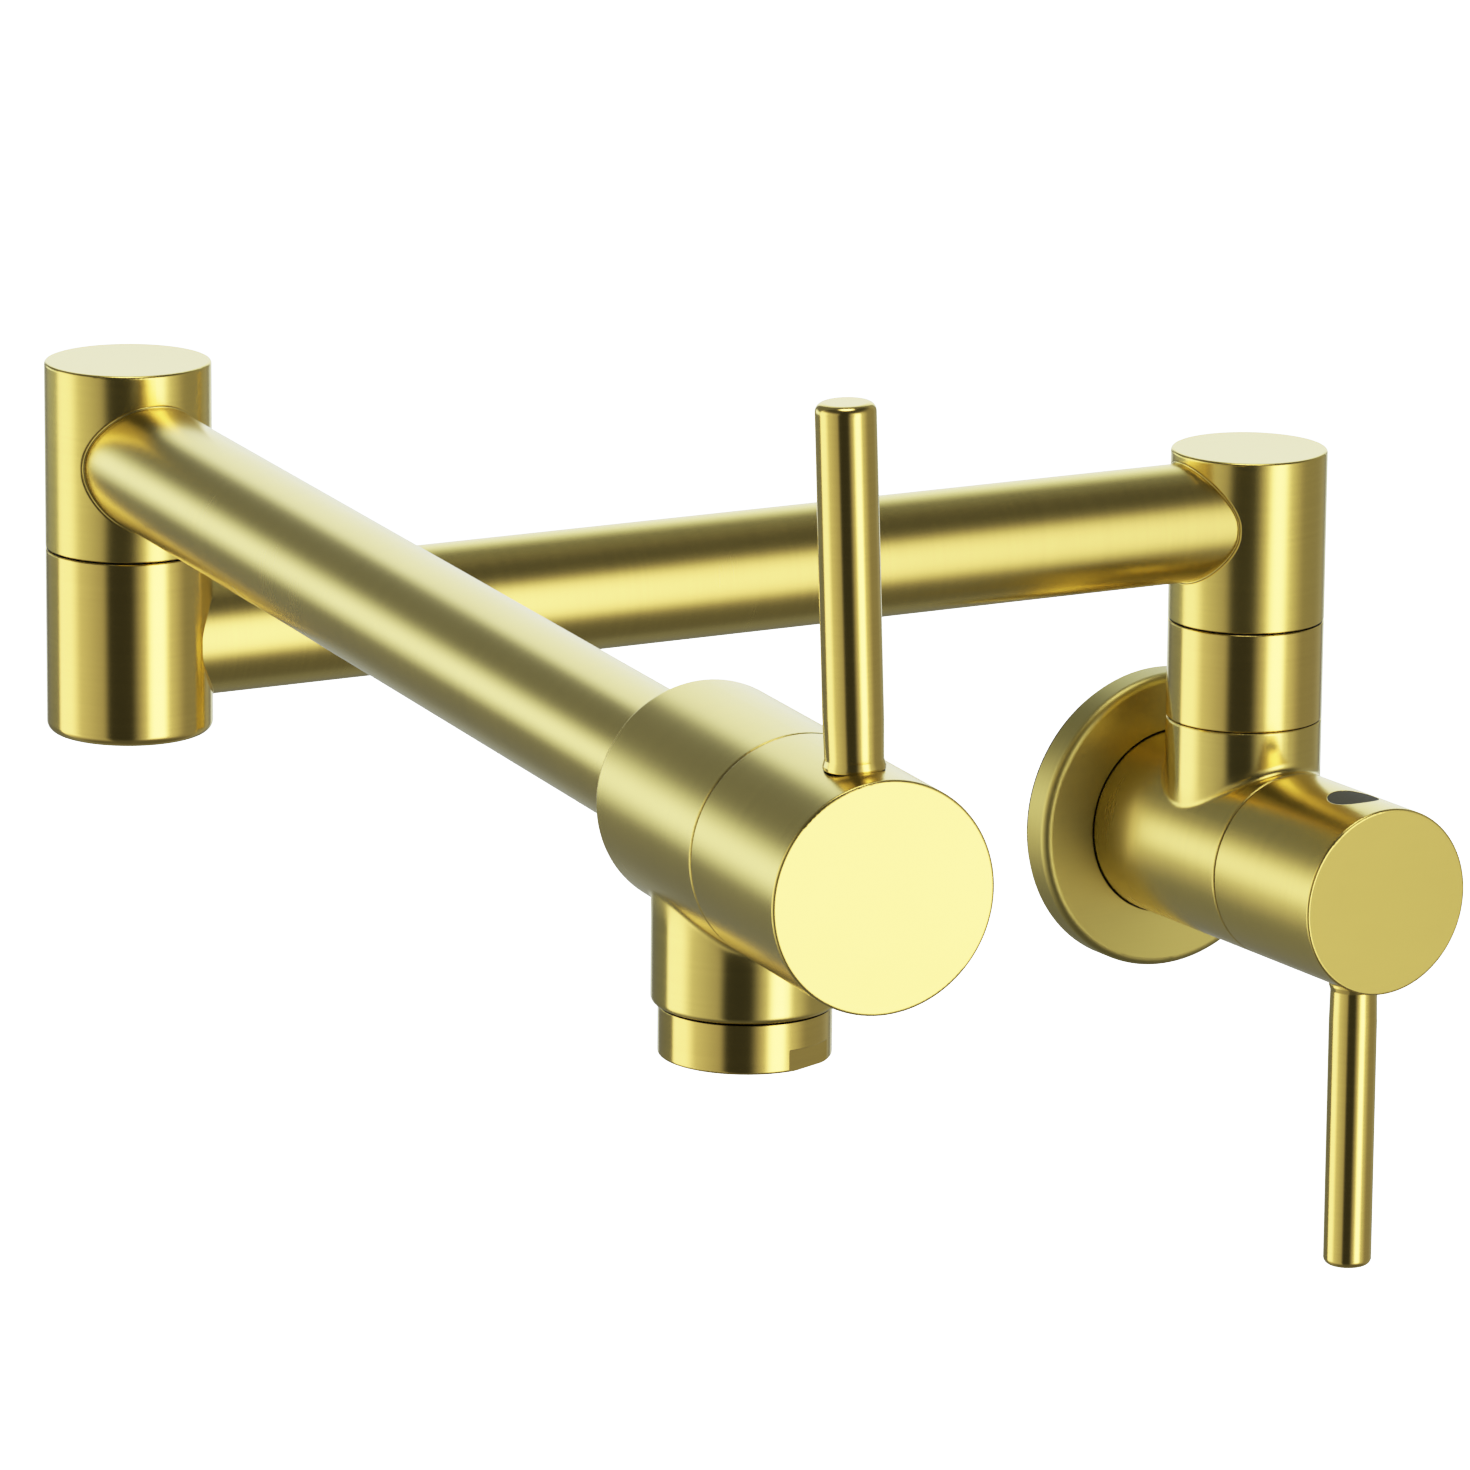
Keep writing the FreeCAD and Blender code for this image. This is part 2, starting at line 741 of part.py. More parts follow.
def make_cartridge(prefix, placement):
    """The fixed pieces of a quarter turn ceramic cartridge, and the nut that holds it."""
    ring(f"{prefix}_seat_seal", placement, s.seat_radius, s.disc_radius,
         -s.seat_depth, fixed_disc_bottom)
    make_disc(f"{prefix}_fixed_disc", placement, fixed_disc_bottom, fixed_disc_top, 90)

    body = new_body(f"{prefix}_cartridge", placement)
    shoulder = -s.nut_depth
    flange_top = shoulder + s.barrel_flange
    revolve(body, [
        (disc_room, fixed_disc_bottom),
        (barrel_radius, fixed_disc_bottom),
        (barrel_radius, shoulder),
        (nut_thread - s.barrel_fit, shoulder),
        (nut_thread - s.barrel_fit, flange_top),
        (s.gland_radius, flange_top),
        (s.gland_radius, s.nut_head),
        (s.spindle_radius + s.running_fit, s.nut_head),
        (s.spindle_radius + s.running_fit, -s.barrel_cover),
        (disc_room, -s.barrel_cover),
    ])
    windows = sketch_on(body, "YZ_Plane")
    half = 0.5 * s.window_width
    low = moving_disc_top
    draw_outline(windows, [
        (-half, low), (half, low), (half, low + s.window_height), (-half, low + s.window_height),
    ])
    pocket(body, windows, both=True)

    body = new_body(f"{prefix}_cartridge_nut", placement)
    bore = s.gland_radius + s.barrel_fit
    revolve(body, [
        (bore, flange_top), (nut_thread, flange_top), (nut_thread, 0), (bore, 0),
    ])
    hexagon = sketch_on(body, "XY_Plane")
    draw_circle(hexagon, bore)
    draw_hexagon(hexagon, s.nut_corner)
    pad(body, hexagon, s.nut_head)


def draw_hexagon(sketch, corner):
    """A regular hexagon about the sketch's origin, given half its width across corners."""
    cosine, sine = 0.5, math.sqrt(3) / 2
    draw_outline(sketch, [
        (corner, 0), (cosine * corner, sine * corner), (-cosine * corner, sine * corner),
        (-corner, 0), (-cosine * corner, -sine * corner), (cosine * corner, -sine * corner),
    ])


def make_disc(name, placement, bottom, top, turn):
    """A ceramic disc with two water holes on a line at an angle from the lever."""
    body = ring(name, placement * Placement(Vector(), Rotation(UP, turn)),
                0, s.disc_radius, bottom, top)
    holes = sketch_on(body, "XY_Plane", z=top)
    draw_circle(holes, s.disc_hole, s.disc_hole_offset, 0)
    draw_circle(holes, s.disc_hole, -s.disc_hole_offset, 0)
    pocket(body, holes, top - bottom)


def make_handle(prefix, placement):
    """What turns with a lever: moving disc, spindle, hub, lever, grub screw and plug."""
    make_disc(f"{prefix}_moving_disc", placement, fixed_disc_top, moving_disc_top, 0)

    body = new_body(f"{prefix}_spindle", placement)
    cover = -s.barrel_cover - s.fixed_gap
    driver_top = moving_disc_top + s.driver_height
    revolve(body, [
        (0, moving_disc_top),
        (s.spindle_radius, moving_disc_top),
        (s.spindle_radius, driver_top),
        (s.spindle_shoulder, driver_top),
        (s.spindle_shoulder, cover),
        (s.spindle_radius, cover),
        (s.spindle_radius, s.spindle_reach),
        (0, s.spindle_reach),
    ])
    driver = sketch_on(body, "XY_Plane", z=moving_disc_top)
    half, reach = 0.5 * s.driver_width, 0.5 * s.driver_length
    draw_outline(driver, [(-half, -reach), (half, -reach), (half, reach), (-half, reach)])
    pad(body, driver, s.driver_height)
    flat = sketch_on(body, "XY_Plane", z=s.hub_cavity)
    outside = -2 * s.spindle_radius
    draw_outline(flat, [
        (outside, outside), (-s.spindle_flat, outside),
        (-s.spindle_flat, -outside), (outside, -outside),
    ])
    pocket(body, flat, s.spindle_reach, reverse=True)

    body = new_body(f"{prefix}_hub", placement)
    spindle_bore = s.spindle_radius + s.seated_fit
    spindle_end = s.spindle_reach + s.fixed_gap
    revolve(body, [
        (0, s.hub_length),
        (0, spindle_end),
        (spindle_bore, spindle_end),
        (spindle_bore, s.hub_cavity),
        (s.body_radius - s.hub_wall, s.hub_cavity),
        (s.body_radius - s.hub_wall, s.moving_gap),
        (s.body_radius, s.moving_gap),
        (s.body_radius, s.hub_length),
    ])
    dress(body, "Fillet", s.hub_edge, rim(s.body_radius, s.hub_length))
    dress(body, "Chamfer", s.seam_edge, rim(s.body_radius, s.moving_gap))
    # Towards +X the lever's spot face and its tapped hole; towards -X the grub screw's
    # hole and the recess of the plug that covers it.
    for start, radius, place, outwards in (
        (lever_seat, s.lever_foot + s.seated_fit, s.lever_place, True),
        (0, s.stud_radius + s.seated_fit, s.lever_place, True),
        (-plug_floor, s.plug_radius + s.seated_fit, s.plug_place, False),
        (0, s.screw_radius + s.seated_fit, s.plug_place, False),
    ):
        hole = sketch_on(body, "YZ_Plane", z=start)
        draw_circle(hole, radius, 0, place)
        pocket(body, hole, s.body_radius, reverse=outwards)

    across = Rotation(Vector(0, 1, 0), 90)
    lever_place = placement * Placement(Vector(0, 0, s.lever_place.number), across)
    opposite = Rotation(Vector(0, 1, 0), -90)
    plug_place = placement * Placement(Vector(0, 0, s.plug_place.number), opposite)
    make_lever(f"{prefix}_lever", lever_place)

    screw_top = s.spindle_flat + s.screw_length
    body = ring(f"{prefix}_grub_screw", plug_place, 0, s.screw_radius, s.spindle_flat, screw_top)
    socket = sketch_on(body, "XY_Plane", z=screw_top)
    draw_hexagon(socket, s.screw_socket)
    pocket(body, socket, s.screw_socket_depth)
    # The plug's face is trimmed to the roundness of the hub, whose axis is the plug's X.
    body = ring(f"{prefix}_hub_plug", plug_place, 0, s.plug_radius, plug_floor, s.body_radius)
    trim = sketch_on(body, "YZ_Plane")
    draw_circle(trim, plug_face)
    draw_circle(trim, 2 * s.body_radius)
    pocket(body, trim, both=True)


def make_lever(name, placement):
    """A slim round lever: stud, a foot with a small lip, and a rounded tip."""
    body = new_body(name, placement)
    foot = lever_seat
    waist = s.lever_radius - s.lever_waist
    stud_root = foot - s.stud_length
    revolve(body, [
        (0, stud_root),
        (s.stud_radius, stud_root),
        (s.stud_radius, foot),
        (s.lever_foot - s.seam_edge, foot),
        (s.lever_foot, foot + s.seam_edge),
        (s.lever_foot, foot + s.lever_lip),
        (waist, foot + s.lever_waist_height),
        (s.lever_radius, foot + s.lever_swell_height),
        (s.lever_radius, s.lever_reach),
        (0, s.lever_reach),
    ])
    dress(body, "Fillet", s.lever_edge, rim(s.lever_radius, s.lever_reach))


# ---- Spout ----

def make_aerator():
    """The threaded ring with its wrench flats, the insert that it holds and its washer."""
    rim_top = s.spout_reach + s.ring_gap
    bottom = s.spout_reach + s.ring_height
    seat = s.spout_reach - s.spout_bore_depth
    thread_top = seat + s.washer_height
    thread = s.spout_bore - s.running_fit
    bore = thread - s.ring_wall
    lip = bottom - s.ring_lip
    body = new_body("aerator_ring", spout_place * Placement(
        Vector(), Rotation(UP, -s.ring_turn.number)))
    revolve(body, [
        (bore, thread_top),
        (thread, thread_top),
        (thread, rim_top),
        (s.ring_radius, rim_top),
        (s.ring_radius, bottom),
        (bore - s.ring_lip_width, bottom),
        (bore - s.ring_lip_width, lip),
        (bore, lip),
    ])
    dress(body, "Fillet", s.hub_edge, rim(s.ring_radius, bottom))
    flats = sketch_on(body, "XY_Plane", z=bottom)
    ring_flat = s.ring_radius - s.ring_flat_depth
    for side in (1, -1):
        outside = side * 2 * s.ring_radius
        draw_outline(flats, [
            (side * ring_flat, -s.ring_radius), (outside, -s.ring_radius),
            (outside, s.ring_radius), (side * ring_flat, s.ring_radius),
        ])
    pocket(body, flats, s.ring_flat_height)

    body = new_body("aerator_insert", spout_place)
    outer = bore - s.seated_fit
    plate = lip - s.insert_plate
    revolve(body, [
        (0, plate),
        (outer - s.insert_wall, plate),
        (outer - s.insert_wall, lip - s.insert_height),
        (outer, lip - s.insert_height),
        (outer, lip),
        (0, lip),
    ])
    holes = sketch_on(body, "XY_Plane", z=lip)
    draw_circle(holes, s.insert_hole)
    for ring_number, count in ((1, 6), (2, 12)):
        for step in range(count):
            angle = 2 * math.pi * step / count
            reach = ring_number * s.insert_pitch
            x = 0 if abs(math.cos(angle)) < 1e-9 else reach * math.cos(angle)
            y = 0 if abs(math.sin(angle)) < 1e-9 else reach * math.sin(angle)
            draw_circle(holes, s.insert_hole, x, y)
    pocket(body, holes, s.insert_plate)

    ring("aerator_washer", spout_place, thread - s.washer_width, thread, seat, thread_top)


make_flange()
make_inlet_body()
make_strainer()
make_cartridge("inlet", inlet_place)
make_handle("inlet", inlet_place)

make_collar()
make_swivel_top("column_head", arm_1_place, head_seam, arm_1_height,
                head_seam + s.head_height)
make_swivel_seals("column", arm_1_place, head_seam)
make_tube("arm_1_tube", arm_1_place, arm_1_height,
          s.socket_floor, s.arm_1_reach - s.socket_floor)

make_elbow_lower()
make_swivel_top("elbow_upper", arm_2_place, elbow_seam, arm_2_height,
                elbow_seam + s.elbow_height)
make_swivel_seals("elbow", arm_2_place, elbow_seam)
make_tube("arm_2_tube", arm_2_place, arm_2_height,
          s.socket_floor, outlet_seam - s.outlet_back + s.outlet_socket)

make_outlet_body()
make_cartridge("outlet", outlet_place)
make_handle("outlet", outlet_place * Placement(
    Vector(), Rotation(UP, s.outlet_lean.number)))
make_aerator()

doc.recompute()
for thing in doc.Objects:
    if {"Invalid", "Error"} & set(thing.State):
        raise RuntimeError(f"{thing.Name} failed: {thing.State}")
for piece in pieces:
    if piece.Shape.isNull() or not piece.Shape.isValid() or not piece.Shape.Solids:
        raise RuntimeError(f"{piece.Label} has no valid solid")

os.makedirs("parts", exist_ok=True)
for piece in pieces:
    piece.Shape.exportStep(os.path.join("parts", f"{piece.Label}.step"))
    print(f"{piece.Label}: {len(piece.Shape.Solids)} solid, {piece.Shape.Volume:.0f} mm3")
print(len(pieces), "pieces")
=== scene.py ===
# %% [markdown]
# # A satin brass pot filler
# The tap was drawn as solids in a CAD program, and this lesson dresses those solids. They
# arrive as a fixed frame: each piece is an object whose place is in its mesh, in metres,
# with +Z up, -Y out of the wall and the origin at the mouth of the inlet thread. The frame
# is never moved or reshaped here. What the lesson adds is finish, light, a camera and the
# fine things that a solid leaves out, such as threads and wire mesh.

# %% Load the frame
import json
import math

import bmesh
import bpy
from mathutils import Matrix, Vector


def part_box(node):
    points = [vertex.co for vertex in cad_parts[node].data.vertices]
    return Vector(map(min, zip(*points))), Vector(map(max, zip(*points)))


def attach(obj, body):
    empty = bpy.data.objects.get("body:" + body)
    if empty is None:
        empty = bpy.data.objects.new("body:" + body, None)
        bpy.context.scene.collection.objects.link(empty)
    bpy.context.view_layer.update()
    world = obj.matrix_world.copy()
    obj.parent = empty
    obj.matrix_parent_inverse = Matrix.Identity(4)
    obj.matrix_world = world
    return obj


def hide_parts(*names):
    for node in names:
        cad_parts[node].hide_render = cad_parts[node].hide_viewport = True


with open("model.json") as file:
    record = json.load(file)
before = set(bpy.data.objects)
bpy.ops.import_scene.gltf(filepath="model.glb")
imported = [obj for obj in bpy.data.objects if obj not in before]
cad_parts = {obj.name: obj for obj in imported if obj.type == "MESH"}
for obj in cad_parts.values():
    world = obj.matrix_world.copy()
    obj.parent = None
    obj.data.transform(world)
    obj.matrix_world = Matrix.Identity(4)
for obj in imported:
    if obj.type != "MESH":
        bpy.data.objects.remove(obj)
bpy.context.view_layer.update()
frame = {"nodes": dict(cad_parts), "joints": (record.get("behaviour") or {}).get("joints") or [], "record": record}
nodes = frame["nodes"]

# %% [markdown]
# ## Where the axes are
# Nearly every piece of a tap comes off a lathe, so its scratches run round its axis. A
# finish therefore has to know that axis. The joints give most of them, because a hinge's
# axis is the axis of the column or valve that turns; the others follow from the pieces'
# boxes. Each axis is kept as a matrix whose Z runs along it, so that a texture can be laid
# out as if the piece stood in the lathe.

# %% Find the axes
UP = Vector((0, 0, 1))
NO_LENGTH = 1e-4


def middle(name):
    low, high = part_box(name)
    return (Vector(low) + Vector(high)) / 2


def standing(point, along, across=UP):
    """A matrix at a point with Z along an axis, and X as near as can be to another way."""
    z = Vector(along).normalized()
    x = Vector(across) - z * z.dot(across)
    if x.length < NO_LENGTH:
        x = Vector((1, 0, 0)) - z * z.x
    x.normalize()
    turn = Matrix((x, z.cross(x), z)).transposed().to_4x4()
    return Matrix.Translation(point) @ turn


joints = {joint["name"]: joint for joint in frame["joints"]}


def hinge(name):
    return Vector(joints[name]["pos_m"]), Vector(joints[name]["axis"])


column_point, _ = hinge("column_swivel")
elbow_point, _ = hinge("elbow_swivel")
inlet_point, inlet_way = hinge("inlet_valve_turn")
outlet_point, outlet_way = hinge("outlet_valve_turn")
arm_1_way = elbow_point - column_point
arm_1_way.z = 0
lean = math.radians(-joints["outlet_valve_turn"]["range_deg"][0])
outlet_up = Matrix.Rotation(lean, 3, outlet_way) @ UP
spout_middle = middle("aerator_ring")

AXES = {
    "inlet": standing(inlet_point, inlet_way),
    "column": standing(column_point, UP),
    "elbow": standing(elbow_point, UP),
    "arm_1": standing(middle("arm_1_tube"), arm_1_way),
    "arm_2": standing(middle("arm_2_tube"), outlet_way),
    "outlet": standing(outlet_point, outlet_way),
    "spout": standing(spout_middle, UP),
    "inlet_lever": standing(middle("inlet_lever"), -UP),
    "outlet_lever": standing(middle("outlet_lever"), outlet_up),
}
for name, place in AXES.items():
    print(f"{name:13s} at {[round(v * 1000, 1) for v in place.translation]} mm")

# %% [markdown]
# ## Brush grain as a node group
# Satin brass is brushed while the piece turns. The scratches are fractions of a millimetre
# wide and centimetres long, so a noise texture is squeezed along the axis and stretched
# round it. On the flat ends of a piece the brush went straight across, so there the same
# noise is laid in lines. Both are made in one node group, since every metal here uses it
# with other numbers: the group gives a height for Bump and a mask for colour and gloss.

# %% Small helpers for node groups
def new_group(name, inputs, outputs):
    group = bpy.data.node_groups.new(name, "ShaderNodeTree")
    for label, kind, value in inputs:
        made = group.interface.new_socket(label, in_out="INPUT", socket_type=kind)
        if value is not None:
            made.default_value = value
    for label, kind in outputs:
        group.interface.new_socket(label, in_out="OUTPUT", socket_type=kind)
    start = group.nodes.new("NodeGroupInput")
    end = group.nodes.new("NodeGroupOutput")
    return group, start, end


def place_node(tree, kind, **settings):
    node = tree.nodes.new(kind)
    for name, value in settings.items():
        setattr(node, name, value)
    return node


def feed(tree, socket, value):
    """Links a socket to another node's output, or sets it to a number."""
    if isinstance(value, bpy.types.NodeSocket):
        tree.links.new(value, socket)
    else:
        socket.default_value = value


def sum_up(tree, operation, *values, clamp=False):
    node = place_node(tree, "ShaderNodeMath", operation=operation, use_clamp=clamp)
    for socket, value in zip(node.inputs, values):
        feed(tree, socket, value)
    return node.outputs[0]


def noise_at(tree, vector, stretch, detail=2.0, roughness=0.5):
    """Noise on a vector that is first stretched by three factors."""
    scaled = place_node(tree, "ShaderNodeVectorMath", operation="MULTIPLY")
    feed(tree, scaled.inputs[0], vector)
    feed(tree, scaled.inputs[1], stretch)
    noise = place_node(tree, "ShaderNodeTexNoise")
    noise.inputs["Scale"].default_value = 1.0
    noise.inputs["Detail"].default_value = detail
    noise.inputs["Roughness"].default_value = roughness
    tree.links.new(scaled.outputs[0], noise.inputs["Vector"])
    return noise.outputs["Fac"]


# %% The brush grain group
FACE_TILT = 0.8  # how far a surface looks along the axis before it counts as a flat end
FINE_ALONG, FINE_ACROSS = 90.0, 9000.0  # cells in a metre, along a scratch and across it
FACE_DEPTH = 0.35  # scratches on a flat end, against those round the axis
BROAD_SHARE = 0.6

grain, g_in, g_out = new_group(
    "brush_grain",
    [("Vector", "NodeSocketVector", None), ("Normal", "NodeSocketVector", None)],
    [("Height", "NodeSocketFloat"), ("Lines", "NodeSocketFloat")],
)
split = place_node(grain, "ShaderNodeSeparateXYZ")
grain.links.new(g_in.outputs["Normal"], split.inputs[0])
end_on = sum_up(grain, "ABSOLUTE", split.outputs["Z"])
face = sum_up(grain, "GREATER_THAN", end_on, FACE_TILT)
place = g_in.outputs["Vector"]
round_fine = noise_at(grain, place, (FINE_ALONG, FINE_ALONG, FINE_ACROSS), 3.0, 0.6)
round_broad = noise_at(grain, place, (40.0, 40.0, 1600.0), 2.0)
flat_fine = noise_at(grain, place, (FINE_ACROSS, FINE_ALONG, FINE_ALONG), 3.0, 0.6)
flat_broad = noise_at(grain, place, (3200.0, 60.0, 60.0), 2.0)
flat_broad = sum_up(grain, "MULTIPLY_ADD", flat_broad, 0.4, 0.3)


def pick(tree, mask, off, on):
    node = place_node(tree, "ShaderNodeMix", data_type="FLOAT")
    for socket, value in zip(node.inputs[:4], (mask, None, off, on)):
        if value is not None:
            feed(tree, socket, value)
    return node.outputs[0]


fine = pick(grain, face, round_fine, flat_fine)
broad = pick(grain, face, round_broad, flat_broad)
height = sum_up(grain, "MULTIPLY_ADD", broad, BROAD_SHARE, fine)
height = sum_up(grain, "MULTIPLY", height, pick(grain, face, 1.0, FACE_DEPTH))
grain.links.new(height, g_out.inputs["Height"])
grain.links.new(broad, g_out.inputs["Lines"])
print("brush_grain has", len(grain.nodes), "nodes")

# %% [markdown]
# ## Wear, painted seam shade and handling
# Three more effects are shared. Edges that cloths and hands rub go a little brighter: the
# Bevel node rounds the normal near an edge, so where it differs from the true normal there
# is an edge. The seams between turning pieces get painted shade, with some grime: no light
# comes back out of a slot that narrow and dirt gathers in it, so where the Ambient
# Occlusion node, looking only a millimetre or two away, finds them, the colour is painted
# dark. And no metal is evenly matt, because it is wiped and touched, so a soft, cloudy
# noise shifts the roughness by a few hundredths.

# %% The wear and painted seam shade group
EDGE_LIKENESS = (0.998, 0.93)  # rounded against true normal: no edge, full edge
SEAM_OPENNESS = (0.64, 0.28)  # share of open sky: no seam, full seam
CLOUD_CELLS = (28.0, 28.0, 28.0)

wear_and_shade, w_in, w_out = new_group(
    "edge_wear_and_seam_shade",
    [("Vector", "NodeSocketVector", None), ("Radius", "NodeSocketFloat", 0.00025),
     ("Reach", "NodeSocketFloat", 0.0016)],
    [("Edge", "NodeSocketFloat"), ("Seam Shade", "NodeSocketFloat"), ("Clouds", "NodeSocketFloat"),
     ("Normal", "NodeSocketVector")],
)
bevel = place_node(wear_and_shade, "ShaderNodeBevel", samples=6)
wear_and_shade.links.new(w_in.outputs["Radius"], bevel.inputs["Radius"])
true_normal = place_node(wear_and_shade, "ShaderNodeNewGeometry")
likeness = place_node(wear_and_shade, "ShaderNodeVectorMath", operation="DOT_PRODUCT")
wear_and_shade.links.new(bevel.outputs[0], likeness.inputs[0])
wear_and_shade.links.new(true_normal.outputs["Normal"], likeness.inputs[1])
edge = place_node(wear_and_shade, "ShaderNodeMapRange")
edge.inputs["From Min"].default_value, edge.inputs["From Max"].default_value = EDGE_LIKENESS
wear_and_shade.links.new(likeness.outputs["Value"], edge.inputs["Value"])
# Painted seam shade: ambient occlusion a millimetre or two out marks the narrow seams whose colour is darkened.
openness = place_node(wear_and_shade, "ShaderNodeAmbientOcclusion", samples=8)
wear_and_shade.links.new(w_in.outputs["Reach"], openness.inputs["Distance"])
seam_shade_mask = place_node(wear_and_shade, "ShaderNodeMapRange", interpolation_type="SMOOTHSTEP")
seam_shade_mask.inputs["From Min"].default_value = SEAM_OPENNESS[0]
seam_shade_mask.inputs["From Max"].default_value = SEAM_OPENNESS[1]
wear_and_shade.links.new(openness.outputs["AO"], seam_shade_mask.inputs["Value"])
clouds = noise_at(wear_and_shade, w_in.outputs["Vector"], CLOUD_CELLS, 3.0, 0.6)
wear_and_shade.links.new(edge.outputs[0], w_out.inputs["Edge"])
wear_and_shade.links.new(seam_shade_mask.outputs[0], w_out.inputs["Seam Shade"])
wear_and_shade.links.new(clouds, w_out.inputs["Clouds"])
wear_and_shade.links.new(bevel.outputs[0], w_out.inputs["Normal"])
print("edge_wear_and_seam_shade has", len(wear_and_shade.nodes), "nodes")


# %% [markdown]
# ## The brass
# All the outside pieces are the same greenish gold brass, and only the last pass differs.
# Tubes, valve bodies and hubs are satin, brushed with a soft pad, and the two swivel heads
# had a finer pad. The collar, the elbow's lower half, the spout, the aerator ring and the
# levers are finely turned, so the light's bands stay sharp in them. The flange is matt and a
# little darker. One function makes a material for a finish and an axis.
#
# The valve bodies are one piece each, with a branch that stood in the lathe on its own: the
# material therefore changes from one grain to the other where the branch leaves the barrel.

# %% The finishes
FINISHES = {
    # name: (colour, roughness, grain depth in metres, share of cloudiness)
    "satin": ((0.93, 0.74, 0.21), 0.26, 0.0000005, 0.06),
    "matt": ((0.62, 0.52, 0.16), 0.42, 0.0000006, 0.06),
    "fine": ((0.94, 0.74, 0.20), 0.22, 0.0000004, 0.05),
    "turned": ((0.95, 0.73, 0.20), 0.15, 0.0000003, 0.05),
    "plain": ((0.88, 0.66, 0.22), 0.24, 0.0000010, 0.08),
}
LINE_GLOSS = 0.03  # how much a scratch changes the roughness
EDGE_GLOSS = -0.06  # how much a rubbed edge does
STREAKS = (0.98, 1.015)  # darkest and lightest scratch, against the brass's colour
# The colour that the seams are darkened towards: painted shade, with some grime.
SEAM_SHADE_AND_GRIME = (0.020, 0.014, 0.005, 1)
SEAM_KEPT = 0.15  # what is left of a seam's darkness where it is filled with braze
ROUNDED_SADDLE = 0.0007  # a softer edge where a branch meets its barrel

# %% Grain laid round an axis
def lathe_vectors(tree, axis):
    """Object position and normal, turned so that Z runs along the piece's axis."""
    coordinates = place_node(tree, "ShaderNodeTexCoord")
    inverse = AXES[axis].inverted()
    turn = inverse.to_euler()
    position = place_node(tree, "ShaderNodeMapping", vector_type="POINT")
    position.inputs["Rotation"].default_value = turn
    position.inputs["Location"].default_value = inverse.translation
    tree.links.new(coordinates.outputs["Object"], position.inputs["Vector"])
    normal = place_node(tree, "ShaderNodeMapping", vector_type="VECTOR")
    normal.inputs["Rotation"].default_value = turn
    tree.links.new(coordinates.outputs["Normal"], normal.inputs["Vector"])
    return position.outputs[0], normal.outputs[0]


def use_group(tree, group, **values):
    node = place_node(tree, "ShaderNodeGroup", node_tree=group)
    for name, value in values.items():
        feed(tree, node.inputs[name], value)
    return node


def blank_material(name):
    material = bpy.data.materials.new(name)
    material.use_nodes = True
    tree = material.node_tree
    return material, tree, tree.nodes["Principled BSDF"]


def brushed(tree, finish, axis):
    """One finish laid round one axis: its place, grain height in metres, lines and roughness."""
    position, normal = lathe_vectors(tree, axis)
    lines = use_group(tree, grain, Vector=position, Normal=normal)
    _, roughness, depth, _ = FINISHES[finish]
    height = sum_up(tree, "MULTIPLY", lines.outputs["Height"], depth)
    rough = sum_up(tree, "MULTIPLY_ADD", lines.outputs["Lines"], LINE_GLOSS,
                   roughness - LINE_GLOSS / 2)
    return position, height, lines.outputs["Lines"], rough


# %% Where one finish gives way to another
def beyond(tree, position, radius, softness=0.003):
    """0 within a radius of the lathe's axis, rising softly to 1 outside it."""
    split = place_node(tree, "ShaderNodeSeparateXYZ")
    tree.links.new(position, split.inputs[0])
    across = sum_up(tree, "MULTIPLY", split.outputs["X"], split.outputs["X"])
    squared = sum_up(tree, "MULTIPLY_ADD", split.outputs["Y"], split.outputs["Y"], across)
    ramp = place_node(tree, "ShaderNodeMapRange", interpolation_type="SMOOTHSTEP")
    feed(tree, ramp.inputs["Value"], sum_up(tree, "SQRT", squared))
    ramp.inputs["From Min"].default_value = radius
    ramp.inputs["From Max"].default_value = radius + softness
    return ramp.outputs[0]


